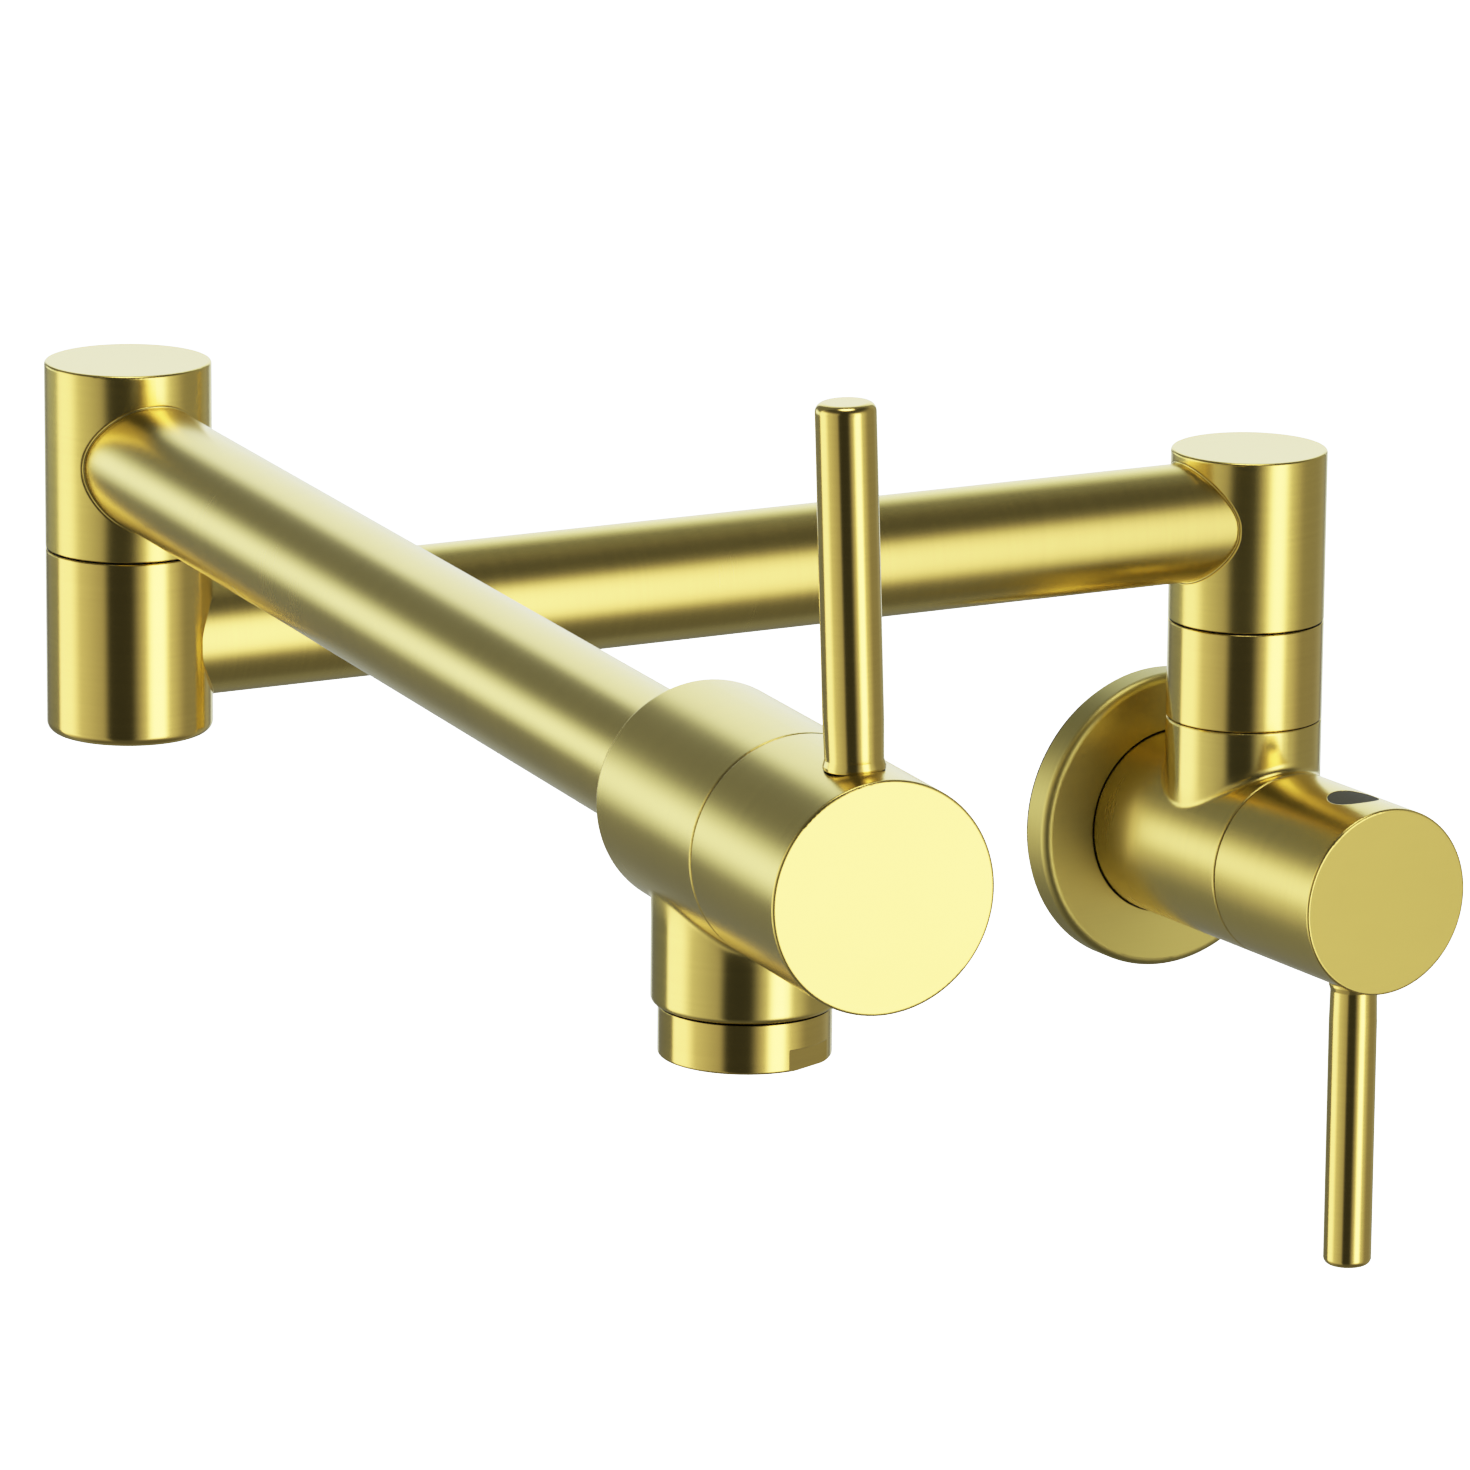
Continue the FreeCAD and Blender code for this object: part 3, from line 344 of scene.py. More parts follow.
# %% The brass itself
def brass(finish, axis, branch=None, socket=None, rounding=0.00025):
    """Brass with one finish, or with a second one on a branch that leaves the barrel.

    A tube is brazed into its socket, so round that arm's axis the seam stays bright."""
    words = [finish, "brass", axis] + ["branched"] * bool(branch) + ["brazed"] * bool(socket)
    name = "_".join(words)
    if name in bpy.data.materials:
        return bpy.data.materials[name]
    colour, _, _, cloudiness = FINISHES[finish]
    material, tree, shader = blank_material(name)
    material.diffuse_color = (*colour, 1)
    position, height, lines, rough = brushed(tree, finish, axis)
    if branch:
        far = beyond(tree, position, branch[2])
        _, height_2, lines_2, rough_2 = brushed(tree, *branch[:2])
        height = pick(tree, far, height, height_2)
        lines = pick(tree, far, lines, lines_2)
        rough = pick(tree, far, rough, rough_2)
    edges_and_shade = use_group(tree, wear_and_shade, Vector=position, Radius=rounding)
    seam_shade_mask = edges_and_shade.outputs["Seam Shade"]
    if socket:
        arm_position, _ = lathe_vectors(tree, socket[0])
        open_seam = beyond(tree, arm_position, socket[1], 0.0006)
        seam_shade_mask = sum_up(tree, "MULTIPLY", seam_shade_mask,
                         sum_up(tree, "MULTIPLY_ADD", open_seam, 1 - SEAM_KEPT, SEAM_KEPT))
    shader.inputs["Metallic"].default_value = 1.0

    shade = place_node(tree, "ShaderNodeMapRange")
    shade.inputs["From Min"].default_value, shade.inputs["From Max"].default_value = 0.3, 0.7
    tree.links.new(lines, shade.inputs["Value"])
    streaks = place_node(tree, "ShaderNodeMix", data_type="RGBA")
    tree.links.new(shade.outputs[0], streaks.inputs["Factor"])
    for tone, share in zip(streaks.inputs[6:8], STREAKS):
        tone.default_value = (*[min(1, c * share) for c in colour], 1)
    bright = place_node(tree, "ShaderNodeMix", data_type="RGBA")
    rubbed = sum_up(tree, "MULTIPLY", edges_and_shade.outputs["Edge"], 0.4)
    tree.links.new(rubbed, bright.inputs["Factor"])
    tree.links.new(streaks.outputs[2], bright.inputs[6])
    bright.inputs[7].default_value = (*[min(1, c * 1.05 + 0.03) for c in colour], 1)
    # Painted seam shade, with some grime: the colour goes dark where ambient occlusion finds a narrow seam.
    seam_shaded = place_node(tree, "ShaderNodeMix", data_type="RGBA")
    tree.links.new(seam_shade_mask, seam_shaded.inputs["Factor"])
    tree.links.new(bright.outputs[2], seam_shaded.inputs[6])
    seam_shaded.inputs[7].default_value = SEAM_SHADE_AND_GRIME
    tree.links.new(seam_shaded.outputs[2], shader.inputs["Base Color"])

    cloudy = sum_up(tree, "MULTIPLY_ADD", edges_and_shade.outputs["Clouds"], cloudiness, rough)
    matt = sum_up(tree, "ADD", cloudy, -cloudiness / 2)
    worn = sum_up(tree, "MULTIPLY_ADD", edges_and_shade.outputs["Edge"], EDGE_GLOSS, matt, clamp=True)
    tree.links.new(worn, shader.inputs["Roughness"])

    bump = place_node(tree, "ShaderNodeBump")
    bump.inputs["Distance"].default_value = 1.0
    tree.links.new(height, bump.inputs["Height"])
    tree.links.new(edges_and_shade.outputs["Normal"], bump.inputs["Normal"])
    tree.links.new(bump.outputs[0], shader.inputs["Normal"])
    return material


# %% [markdown]
# ## What isn't brass
# Rubber, ceramic, steel and moulded plastic hide inside the swivels and valves. They show
# at a gap or from the back, so each still gets its own surface: one mottle serves them all,
# with a coarse, dull setting for rubber, a fine, glossy one for ceramic and a metallic one
# for steel.

# %% Other materials
OTHERS = {
    # slot: (dark colour, light colour, roughness, bump in metres, metallic, size of mottle)
    "ceramic": ((0.80, 0.80, 0.77), (0.88, 0.88, 0.86), 0.16, 0.000002, 0.0, 900.0),
    "steel": ((0.50, 0.50, 0.51), (0.64, 0.64, 0.65), 0.27, 0.000004, 1.0, 2600.0),
    "acetal": ((0.78, 0.78, 0.74), (0.85, 0.85, 0.82), 0.38, 0.000008, 0.0, 1100.0),
    "plug_rubber": ((0.360, 0.330, 0.150), (0.460, 0.425, 0.210), 0.40, 0.00003, 0.0, 2200.0),
    "seal_rubber": ((0.010, 0.010, 0.010), (0.022, 0.022, 0.023), 0.48, 0.00002, 0.0, 1800.0),
}


def other(slot):
    if slot in bpy.data.materials:
        return bpy.data.materials[slot]
    dark, light, roughness, depth, metallic, size = OTHERS[slot]
    material, tree, shader = blank_material(slot)
    material.diffuse_color = (*light, 1)
    shader.inputs["Metallic"].default_value = metallic
    coordinates = place_node(tree, "ShaderNodeTexCoord")
    mottle = noise_at(tree, coordinates.outputs["Object"], (size, size, size), 4.0, 0.6)
    broad_mottle = noise_at(tree, coordinates.outputs["Object"], (60.0, 60.0, 60.0), 2.0)
    mix = place_node(tree, "ShaderNodeMix", data_type="RGBA")
    tree.links.new(mottle, mix.inputs["Factor"])
    mix.inputs[6].default_value, mix.inputs[7].default_value = (*dark, 1), (*light, 1)
    tree.links.new(mix.outputs[2], shader.inputs["Base Color"])
    gloss = sum_up(tree, "MULTIPLY_ADD", broad_mottle, 0.14, roughness - 0.07)
    tree.links.new(gloss, shader.inputs["Roughness"])
    bump = place_node(tree, "ShaderNodeBump")
    bump.inputs["Distance"].default_value = depth
    tree.links.new(mottle, bump.inputs["Height"])
    tree.links.new(bump.outputs[0], shader.inputs["Normal"])
    return material


# %% [markdown]
# ## Modelling by hand, in code
# A few small things are too fine for the solids, and each is modelled as by hand: a
# primitive at its size and place, then edit mode. An operator acts on everything that is
# selected, so each step first lets go of all, and then selects faces or points by where
# they are or which way they look.

# %% Helpers for edit mode
def let_go():
    if bpy.context.mode != "OBJECT":
        bpy.ops.object.mode_set(mode="OBJECT")
    bpy.ops.object.select_all(action="DESELECT")


def start_piece(name):
    """Names the primitive that was just added, and puts its place into its mesh."""
    piece = bpy.context.object
    piece.name = piece.data.name = name
    bpy.ops.object.transform_apply(location=True, rotation=True, scale=True)
    return piece


def enter(piece, kind="FACE"):
    let_go()
    bpy.context.view_layer.objects.active = piece
    piece.select_set(True)
    bpy.ops.object.mode_set(mode="EDIT")
    bpy.ops.mesh.select_mode(type=kind)
    bpy.ops.mesh.select_all(action="DESELECT")


def select_points(piece, test):
    """Selects the points whose place passes a test, in vertex mode."""
    mesh = bmesh.from_edit_mesh(piece.data)
    for point in mesh.verts:
        point.select_set(bool(test(point.co)))
    mesh.select_flush_mode()
    bmesh.update_edit_mesh(piece.data)


def select_faces(piece, test):
    """Selects the faces whose middle and normal pass a test, in face mode."""
    mesh = bmesh.from_edit_mesh(piece.data)
    mesh.normal_update()
    for face in mesh.faces:
        face.select_set(bool(test(face.calc_center_median(), face.normal)))
    bmesh.update_edit_mesh(piece.data)


def apply_modifier(piece, kind, **settings):
    let_go()
    bpy.context.view_layer.objects.active = piece
    piece.select_set(True)
    modifier = piece.modifiers.new(kind.lower(), kind)
    for name, value in settings.items():
        setattr(modifier, name, value)
    bpy.ops.object.modifier_apply(modifier=modifier.name)


def finish_piece(piece, body, smooth=30):
    """Closes a piece: normals out, soft shading up to an angle, and its body."""
    enter(piece)
    bpy.ops.mesh.select_all(action="SELECT")
    bpy.ops.mesh.normals_make_consistent(inside=False)
    let_go()
    piece.select_set(True)
    bpy.context.view_layer.objects.active = piece
    bpy.ops.object.shade_smooth_by_angle(angle=math.radians(smooth))
    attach(piece, body)
    let_go()
    print(f"{piece.name}: {len(piece.data.polygons)} faces")


def hollow(piece, axis, wall, edge):
    """Turns a disc into a ring: insets both ends, deletes the middles and bridges the rims."""
    enter(piece)
    select_faces(piece, lambda middle, normal: abs(normal.dot(axis)) > 0.9)
    bpy.ops.mesh.inset(thickness=wall, use_even_offset=True)
    bpy.ops.mesh.delete(type="FACE")
    bpy.ops.mesh.select_mode(type="EDGE")
    bpy.ops.mesh.select_non_manifold()
    bpy.ops.mesh.bridge_edge_loops()
    bpy.ops.mesh.select_all(action="DESELECT")
    bpy.ops.mesh.edges_select_sharp(sharpness=math.radians(50))
    bpy.ops.mesh.bevel(offset=edge, segments=2, affect="EDGES")
    bpy.ops.object.mode_set(mode="OBJECT")


def wire_mesh(name, across, pitch, wire, place, rise):
    """A round piece of wire mesh: a grid cut to a disc, dished a little, and made wires."""
    let_go()
    count = round(2 * across / pitch)
    bpy.ops.mesh.primitive_grid_add(x_subdivisions=count, y_subdivisions=count, size=2 * across)
    piece = start_piece(name)
    enter(piece, "VERT")
    select_points(piece, lambda co: co.length > across)
    bpy.ops.mesh.delete(type="VERT")
    select_points(piece, lambda co: co.length < pitch * 0.8)
    bpy.ops.transform.translate(value=(0, 0, rise), use_proportional_edit=True,
                                proportional_edit_falloff="SMOOTH", proportional_size=across)
    let_go()
    apply_modifier(piece, "WIREFRAME", thickness=wire, use_even_offset=False, use_boundary=True)
    piece.matrix_world = place
    piece.select_set(True)
    bpy.context.view_layer.objects.active = piece
    bpy.ops.object.transform_apply(location=True, rotation=True, scale=True)
    let_go()
    return piece


# %% [markdown]
# ## The inlet thread
# The tap screws onto a half inch pipe nipple, so the mouth at the wall has a thread of
# fourteen turns to the inch. The solid has only the plain bore. A thread is one triangle
# carried round and along at once, which is what the Screw modifier does to a three-sided
# circle. Its ends stay open, so they are filled by hand before it is turned into the bore.

# %% Wind the thread
thread_pitch = 0.0254 / 14
thread_turns = 7
thread_start = 0.0006  # its distance into the bore
ridge_radius = 0.0004
bore_radius = 0.0093

let_go()
bpy.ops.mesh.primitive_circle_add(
    vertices=3, radius=ridge_radius, location=(bore_radius, 0, 0),
    rotation=(math.pi / 2, -math.pi / 2, 0))
thread = start_piece("inlet_thread_ridge")
apply_modifier(thread, "SCREW", axis="Z", angle=2 * math.pi, screw_offset=thread_pitch,
               iterations=thread_turns, steps=48, render_steps=48, use_merge_vertices=False)
enter(thread, "EDGE")
bpy.ops.mesh.select_non_manifold()
bpy.ops.mesh.fill_holes(sides=3)
let_go()
thread.rotation_euler = (math.pi / 2, 0, 0)
thread.location = (0, -thread_start, 0)
thread.select_set(True)
bpy.context.view_layer.objects.active = thread
bpy.ops.object.transform_apply(location=True, rotation=True, scale=True)
finish_piece(thread, "base")

# %% [markdown]
# ## The strainer
# A steel washer with a dished wire screen sits at the bottom of the thread and keeps grit
# out of the valve. The solid has a plain disc there. The washer is a disc whose two ends
# are inset, opened and bridged, and the screen is a grid, cut round, pushed up in the
# middle with proportional editing and turned into wires.

# %% Washer and screen
strainer_low, strainer_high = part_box("inlet_strainer")
strainer_middle = middle("inlet_strainer")
strainer_radius = (strainer_high[0] - strainer_low[0]) / 2
strainer_depth = strainer_high[1] - strainer_low[1]
washer_width, washer_edge = 0.0022, 0.00025
screen_radius = strainer_radius - 0.0019  # a little over the washer's inner rim
screen_pitch, screen_wire, screen_dish = 0.00046, 0.00016, 0.0011
screen_lift = 0.0005

let_go()
bpy.ops.mesh.primitive_cylinder_add(
    vertices=72, radius=strainer_radius, depth=strainer_depth, location=strainer_middle,
    rotation=(math.pi / 2, 0, 0))
strainer = start_piece("inlet_strainer_screen")
hollow(strainer, Vector((0, 1, 0)), washer_width, washer_edge)
screen_place = (Matrix.Translation((0, strainer_low[1] + screen_lift, 0))
                @ Matrix.Rotation(-math.pi / 2, 4, "X"))
screen = wire_mesh("screen", screen_radius, screen_pitch, screen_wire, screen_place, screen_dish)
screen.select_set(True)
strainer.select_set(True)
bpy.context.view_layer.objects.active = strainer
bpy.ops.object.join()
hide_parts("inlet_strainer")
finish_piece(strainer, "base")

# %% [markdown]
# ## The aerator insert
# Seen from below, a spout ends in a moulded insert with a honeycomb that straightens the
# water, and a wire screen above it that breaks it up. The solid has a plate with nineteen
# plain holes. One six-sided cell is modelled as a short tube and copied in rows; then the
# copies are joined and their shared walls welded, so the comb is one piece of plastic.

# %% One cell of the comb
insert_low, insert_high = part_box("aerator_insert")
insert_middle = middle("aerator_insert")
insert_radius = (insert_high[0] - insert_low[0]) / 2
insert_wall = 0.0011
cell_pitch = 0.0019
cell_depth = 0.0022
cell_wall = 0.00013
cell_foot = insert_low[2] + 0.0004

let_go()
bpy.ops.mesh.primitive_cylinder_add(
    vertices=6, radius=cell_pitch / math.sqrt(3), depth=cell_depth,
    location=(0, 0, cell_foot + cell_depth / 2))
cell = start_piece("cell")
enter(cell)
select_faces(cell, lambda middle, normal: abs(normal.z) > 0.9)
bpy.ops.mesh.inset(thickness=cell_wall, use_even_offset=True)
bpy.ops.mesh.delete(type="FACE")
bpy.ops.mesh.select_mode(type="EDGE")
bpy.ops.mesh.select_non_manifold()
bpy.ops.mesh.bridge_edge_loops()
let_go()
print("one cell has", len(cell.data.polygons), "faces")

# %% Copy the cell and weld the comb
weld_distance = 0.00002
row_pitch = cell_pitch * math.sqrt(3) / 2
cells = [cell]
reach = insert_radius - insert_wall
rows = int(reach / row_pitch) + 1
for row in range(-rows, rows + 1):
    for column in range(-rows, rows + 1):
        x = cell_pitch * (column + (row % 2) / 2)
        y = row_pitch * row
        if (row or column) and math.hypot(x, y) < reach:
            copy = bpy.data.objects.new("cell", cell.data.copy())
            bpy.context.collection.objects.link(copy)
            copy.location = (x, y, 0)
            cells.append(copy)
for copy in cells:
    copy.select_set(True)
bpy.context.view_layer.objects.active = cell
bpy.ops.object.join()
enter(cell, "VERT")
bpy.ops.mesh.select_all(action="SELECT")
bpy.ops.mesh.remove_doubles(threshold=weld_distance)
bpy.ops.mesh.select_all(action="DESELECT")
bpy.ops.mesh.select_mode(type="FACE")
bpy.ops.mesh.select_interior_faces()
bpy.ops.mesh.delete(type="FACE")
let_go()
cell.location = (insert_middle.x, insert_middle.y, 0)
cell.select_set(True)
bpy.ops.object.transform_apply(location=True)
print(len(cells), "cells,", len(cell.data.polygons), "faces once welded")

# %% The comb's rim and the screen above it
rim_edge = 0.0002
sieve_pitch, sieve_wire, sieve_dish = 0.0007, 0.00022, 0.0004
sieve_radius = reach + 0.0003  # caught a little way into the rim
sieve_height = cell_foot + cell_depth + 0.0006

let_go()
bpy.ops.mesh.primitive_cylinder_add(
    vertices=96, radius=insert_radius, depth=insert_high[2] - insert_low[2],
    location=insert_middle)
honeycomb = start_piece("aerator_honeycomb")
hollow(honeycomb, UP, insert_wall, rim_edge)
let_go()
cell.select_set(True)
honeycomb.select_set(True)
bpy.context.view_layer.objects.active = honeycomb
bpy.ops.object.join()
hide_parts("aerator_insert")
finish_piece(honeycomb, "arm_2")

sieve_place = Matrix.Translation((insert_middle.x, insert_middle.y, sieve_height))
sieve = wire_mesh(
    "aerator_screen", sieve_radius, sieve_pitch, sieve_wire, sieve_place, sieve_dish)
finish_piece(sieve, "arm_2")

# %% [markdown]
# ## Brazed joints
# Each tube is brazed into its head, and a thin bead of filler, wiped satin, runs round the
# mouth of the socket. Its path is where a round tube meets a round column, a saddle that would be
# tiresome to draw. Instead a circle is laid round the tube and dropped along it onto the
# head by a Shrinkwrap modifier; then the loop is made a curve, given a thickness, and made
# a mesh again.

# %% Lay the beads
tube_low, tube_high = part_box("arm_1_tube")
tube_radius = (tube_high[2] - tube_low[2]) / 2
bead_radius = 0.00042
bead_offset = 0.00012  # from the tube's wall to the bead's middle


def braze(name, head, arm, body, backward):
    """A bead round a tube where it enters a head, at the tube's start or at its end."""
    let_go()
    bpy.ops.mesh.primitive_circle_add(
        vertices=160, radius=tube_radius + bead_offset, location=AXES[arm].translation,
        rotation=AXES[arm].to_euler())
    bead = bpy.context.object
    bead.name = name
    apply_modifier(bead, "SHRINKWRAP", target=nodes[head], wrap_method="PROJECT",
                   use_project_z=True, use_positive_direction=not backward,
                   use_negative_direction=backward)
    bpy.ops.object.convert(target="CURVE")
    bead.data.bevel_depth = bead_radius
    bead.data.bevel_resolution = 3
    bpy.ops.object.convert(target="MESH")
    bead = start_piece(name)
    finish_piece(bead, body, smooth=80)
    return bead


beads = {
    braze("braze_column_head", "column_head", "arm_1", "arm_1", True): "arm_1",
    braze("braze_elbow_lower", "elbow_lower", "arm_1", "arm_1", False): "arm_1",
    braze("braze_elbow_upper", "elbow_upper", "arm_2", "arm_2", True): "arm_2",
    braze("braze_outlet_body", "outlet_body", "arm_2", "arm_2", False): "arm_2",
}

# %% [markdown]
# ## Dressing the solids
# Each solid keeps its mesh and gets a material for its finish and axis. The table below is
# the parts list read as a polisher would: which finish, and round which axis.

# %% Give every solid its finish
hub_low, hub_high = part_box("inlet_hub")
body_radius = (hub_high[0] - hub_low[0]) / 2
mouth_radius = tube_radius + 0.0012  # the filled seam reaches this far from the arm's axis
barrel_radius = body_radius + 0.0003  # past it, a valve body's branch begins
BRASS_NODES = {
    "wall_flange": dict(finish="matt", axis="inlet"),
    "inlet_body": dict(finish="satin", axis="inlet", rounding=ROUNDED_SADDLE,
                       branch=("turned", "column", barrel_radius)),
    "inlet_hub": dict(finish="satin", axis="inlet"),
    "column_head": dict(finish="fine", axis="column", socket=("arm_1", mouth_radius)),
    "elbow_upper": dict(finish="fine", axis="elbow", socket=("arm_2", mouth_radius)),
    "arm_1_tube": dict(finish="satin", axis="arm_1", socket=("arm_1", mouth_radius)),
    "arm_2_tube": dict(finish="satin", axis="arm_2", socket=("arm_2", mouth_radius)),
    "outlet_body": dict(finish="satin", axis="outlet", rounding=ROUNDED_SADDLE,
                        branch=("turned", "spout", barrel_radius),
                        socket=("arm_2", mouth_radius)),
    "outlet_hub": dict(finish="satin", axis="outlet"),
    "column_collar": dict(finish="turned", axis="column"),
    "elbow_lower": dict(finish="turned", axis="elbow", socket=("arm_1", mouth_radius)),
    "aerator_ring": dict(finish="turned", axis="spout"),
    "inlet_lever": dict(finish="turned", axis="inlet_lever"),
    "outlet_lever": dict(finish="turned", axis="outlet_lever"),
}
slot_of = {part["node"]: part["material_slot"] for part in frame["record"]["subparts"]}


def dress(name, node):
    if name in BRASS_NODES:
        material = brass(**BRASS_NODES[name])
    elif slot_of[name] == "plain_brass":
        material = brass("plain", "inlet" if name.startswith("inlet") else "outlet")
    else:
        material = other(slot_of[name])
    for slot in node.material_slots:
        slot.material = material
    return material.name


for name, node in nodes.items():
    print(f"{name:20s} {dress(name, node)}")

NEW_PIECES = {
    thread: brass("plain", "inlet"),
    strainer: other("steel"),
    honeycomb: other("acetal"),
    sieve: other("steel"),
}
NEW_PIECES.update({bead: brass("satin", arm, socket=(arm, mouth_radius))
                   for bead, arm in beads.items()})
for piece, material in NEW_PIECES.items():
    piece.data.materials.clear()
    piece.data.materials.append(material)
    print(f"{piece.name:20s} {material.name}")

# %% [markdown]
# ## Backdrop
# The tap is shown alone on white, so the floor is a plain pale sheet, far enough below it to
# leave room for a look from underneath. The camera sees it and the metal doesn't: a white
# floor mirrored in every underside would wash the brass out.

# %% Floor
WHITE = 2.4  # the brightness that comes out as white, in the exposure curve below
FLOOR_SIZE, FLOOR_HEIGHT = 60, -2.5
PAPER = 0.97  # the sheet's own share of white

let_go()
bpy.ops.mesh.primitive_plane_add(size=FLOOR_SIZE, location=(0, 0, FLOOR_HEIGHT))
floor = bpy.context.object
floor.name = "floor"
paper, paper_tree, paper_shader = blank_material("pale_paper")
paper_shader.inputs["Base Color"].default_value = (0.82, 0.82, 0.82, 1)
paper_shader.inputs["Roughness"].default_value = 0.9
paper_shader.inputs["Emission Color"].default_value = (1, 1, 1, 1)
paper_shader.inputs["Emission Strength"].default_value = WHITE * PAPER
floor.data.materials.append(paper)
floor.visible_glossy = False
floor.visible_shadow = False
floor.visible_diffuse = False

# %% [markdown]
# ## Light
# Polished metal shows its surroundings more than its own colour, so lighting it means
# building what it reflects: soft boxes in a dark room. They are painted on the world, as a
# function of the compass direction and the height above the horizon, so every column gets
# the same bands wherever it stands. One group makes a soft box with its own edges, and the
# table places them: a tall one at the right of the camera, one at the left with a sharp
# side that fades towards the camera, and others behind, above and faintly below. Boxes that
# overlap add up, so one lamp is a bright core, a softer skirt and a faint spill. Where the
# camera stands it stays dark, which gives each column its dark stripe. The camera itself sees
# plain white instead of the boxes.

# %% A soft box on the sky
box_group, s_in, s_out = new_group(
    "soft_box",
    [(label, "NodeSocketFloat", 0.0) for label in
     ("Azimuth", "Elevation", "Middle", "Half Width", "Soft From", "Soft To", "Low", "High",
      "Soft Ends", "Radiance")],
    [("Light", "NodeSocketFloat")],
)
given = s_in.outputs


def side(value, edge, softness):
    """0 to 1 across a soft side. A negative softness makes it fall instead."""
    half = sum_up(box_group, "MULTIPLY", softness, 0.5)
    ramp = place_node(box_group, "ShaderNodeMapRange", interpolation_type="SMOOTHSTEP")
    feed(box_group, ramp.inputs["Value"], value)
    feed(box_group, ramp.inputs["From Min"], sum_up(box_group, "SUBTRACT", edge, half))
    feed(box_group, ramp.inputs["From Max"], sum_up(box_group, "ADD", edge, half))
    return ramp.outputs[0]


def other_way(value):
    return sum_up(box_group, "MULTIPLY", value, -1.0)


aside = sum_up(box_group, "SUBTRACT", given["Azimuth"], given["Middle"])
aside = sum_up(box_group, "WRAP", aside, 180.0, -180.0)
first = side(aside, other_way(given["Half Width"]), given["Soft From"])
last = side(aside, given["Half Width"], other_way(given["Soft To"]))
foot = side(given["Elevation"], given["Low"], given["Soft Ends"])
top = side(given["Elevation"], given["High"], other_way(given["Soft Ends"]))
across = sum_up(box_group, "MULTIPLY", first, last)
upward = sum_up(box_group, "MULTIPLY", foot, top)
lit = sum_up(box_group, "MULTIPLY", across, upward)
box_group.links.new(sum_up(box_group, "MULTIPLY", lit, given["Radiance"]), s_out.inputs["Light"])
print("soft_box has", len(box_group.nodes), "nodes")

# %% Place the soft boxes
PLAIN, COOL = (1.0, 1.0, 1.03), (0.86, 1.0, 1.24)
SOFT_BOXES = {
    # name: (azimuth from, to, softness from, to, elevation low, high, softness, radiance, tint)
    "right_core": (268, 296, 8, 10, -30, 30, 16, 1.00, PLAIN),
    "right_heart": (272, 292, 10, 8, -26, 24, 20, 0.80, PLAIN),
    "right_ramp": (258, 312, 28, 34, -35, 34, 22, 0.42, PLAIN),
    "right_spill": (255, 384, 24, 14, -42, 40, 28, 0.20, PLAIN),
    "left_core": (129, 162, 5, 20, -28, 22, 14, 0.85, PLAIN),
    "left_fade": (129, 184, 5, 64, -36, 28, 24, 0.38, PLAIN),
    "left_spill": (129, 210, 5, 12, -48, 34, 30, 0.30, PLAIN),
    "back": (33, 80, 10, 10, -18, 40, 30, 1.10, COOL),
    "back_strip": (94, 127, 8, 4, -8, 8, 14, 1.30, COOL),
    "back_glow": (10, 132, 30, 6, -70, 66, 40, 0.12, COOL),
    "floor_glow": (0, 360, 1, 1, -100, -40, 30, 0.06, PLAIN),
    "ceiling": (0, 360, 1, 1, 76, 110, 10, 3.2, PLAIN),
    "room": (248, 568, 10, 10, -100, 110, 10, 0.03, PLAIN),
}
AMBIENT = 0.040  # the dark room itself

# %% Paint them on the world
world = bpy.data.worlds.new("studio")
bpy.context.scene.world = world
world.use_nodes = True
tree = world.node_tree
background = tree.nodes["Background"]
way = place_node(tree, "ShaderNodeTexCoord")
ways = place_node(tree, "ShaderNodeSeparateXYZ")
tree.links.new(way.outputs["Generated"], ways.inputs[0])
azimuth = sum_up(tree, "DEGREES", sum_up(tree, "ARCTAN2", ways.outputs["Y"], ways.outputs["X"]))
elevation = sum_up(tree, "DEGREES", sum_up(tree, "ARCSINE", ways.outputs["Z"]))
light = (AMBIENT, AMBIENT, AMBIENT)
for name, box in SOFT_BOXES.items():
    left, right, soft_from, soft_to, low, high, soft_ends, radiance, tint = box
    soft_box = use_group(tree, box_group, **{
        "Azimuth": azimuth, "Elevation": elevation, "Middle": (left + right) / 2,
        "Half Width": (right - left) / 2, "Soft From": soft_from, "Soft To": soft_to,
        "Low": low, "High": high, "Soft Ends": soft_ends, "Radiance": radiance})
    soft_box.label = name
    added = place_node(tree, "ShaderNodeVectorMath", operation="MULTIPLY_ADD")
    for where, value in zip(added.inputs, (soft_box.outputs["Light"], tint, light)):
        feed(tree, where, value)
    light = added.outputs[0]
seen = place_node(tree, "ShaderNodeLightPath")
shown = place_node(tree, "ShaderNodeMix", data_type="RGBA")
tree.links.new(seen.outputs["Is Camera Ray"], shown.inputs["Factor"])
tree.links.new(light, shown.inputs[6])
shown.inputs[7].default_value = (WHITE, WHITE, WHITE, 1)
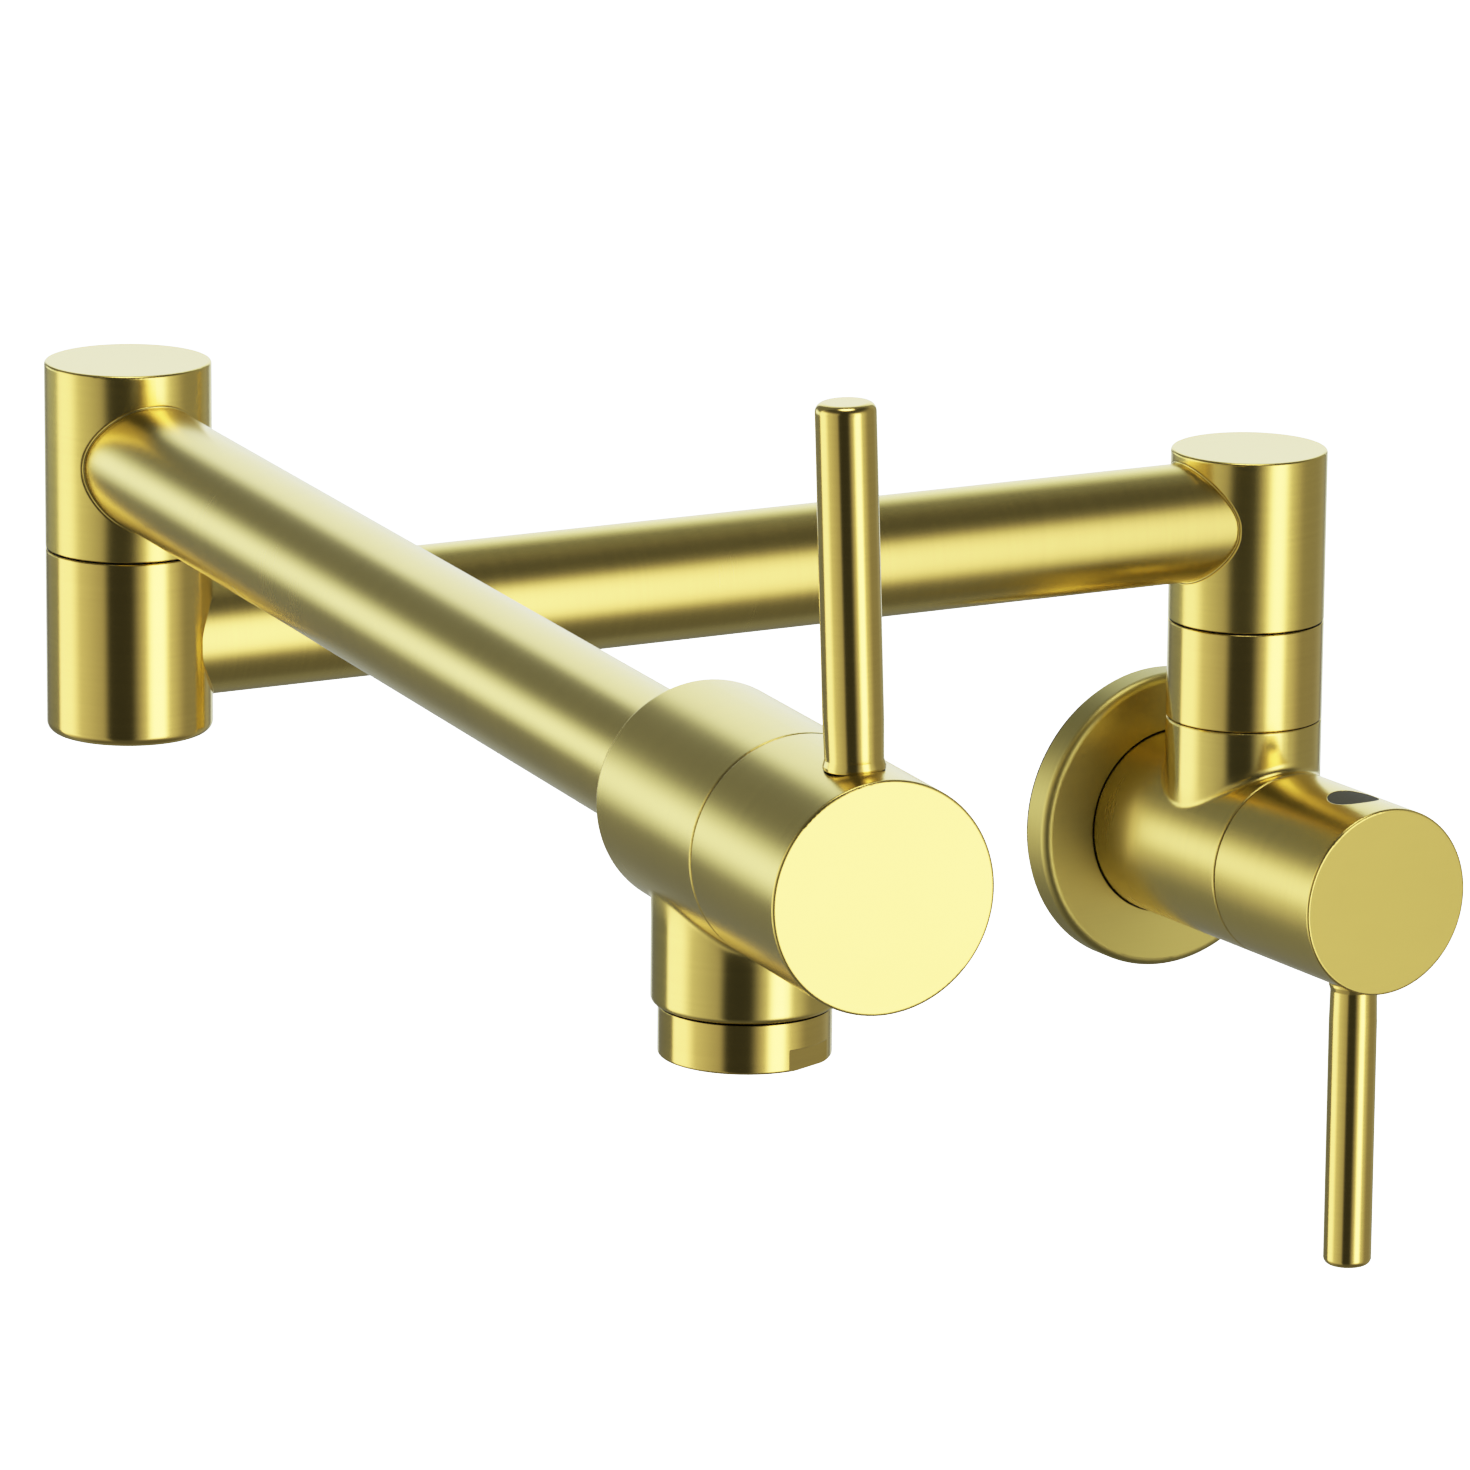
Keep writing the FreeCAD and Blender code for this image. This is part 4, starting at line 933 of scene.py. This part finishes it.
tree.links.new(shown.outputs[2], background.inputs["Color"])
background.inputs["Strength"].default_value = 1.0
print(len(SOFT_BOXES), "soft boxes,", len(tree.nodes), "world nodes")

# %% [markdown]
# ## Camera
# The camera stands low at the front left with a long lens, so the near spout and the far
# wall plate keep almost the same scale. Its place was worked out from the outlines of the
# tap's cylinders.

# %% Camera
IMAGE_SIDE = 1470
SENSOR = 36
LENS_PIXELS = 9671.5
CAMERA_PLACE = (-1.101735, -1.617406, 0.498544)
HEADING, DIP, ROLL = (math.radians(angle) for angle in (-31.729, 90 - 13.876, 0.504))
camera_data = bpy.data.cameras.new("camera")
camera_data.sensor_width = SENSOR
camera_data.lens = LENS_PIXELS * SENSOR / IMAGE_SIDE
camera = bpy.data.objects.new("camera", camera_data)
bpy.context.collection.objects.link(camera)
camera.matrix_world = (
    Matrix.Translation(CAMERA_PLACE)
    @ Matrix.Rotation(HEADING, 4, "Z")
    @ Matrix.Rotation(DIP, 4, "X")
    @ Matrix.Rotation(ROLL, 4, "Z")
)
bpy.context.scene.camera = camera
print(f"lens {camera_data.lens:.1f} mm, camera at {CAMERA_PLACE}")

# %% [markdown]
# ## Exposure curve
# A camera compresses bright light, so that a mirrored soft box turns pale instead of
# cutting off at full yellow. The view's curve does the same: it leaves the darks nearly as
# they are, and bends the brights over towards a white that stands at 2.4.

# %% The curve
CURVE = ((0.0, 0.0), (0.1, 0.085), (0.25, 0.235), (0.4, 0.39), (0.6, 0.56), (0.8, 0.69),
         (1.0, 0.79), (1.25, 0.875), (1.5, 0.925), (2.0, 0.98), (WHITE, 1.0))
view = bpy.context.scene.view_settings
view.view_transform = "Standard"
view.use_curve_mapping = True
view.curve_mapping.white_level = (WHITE, WHITE, WHITE)
bend = view.curve_mapping.curves[3]
bend.points[0].location, bend.points[1].location = CURVE[0], (1.0, CURVE[-1][1])
for scene_light, shown in CURVE[1:-1]:
    bend.points.new(scene_light / WHITE, shown)
view.curve_mapping.update()
print(len(bend.points), "points on the curve")
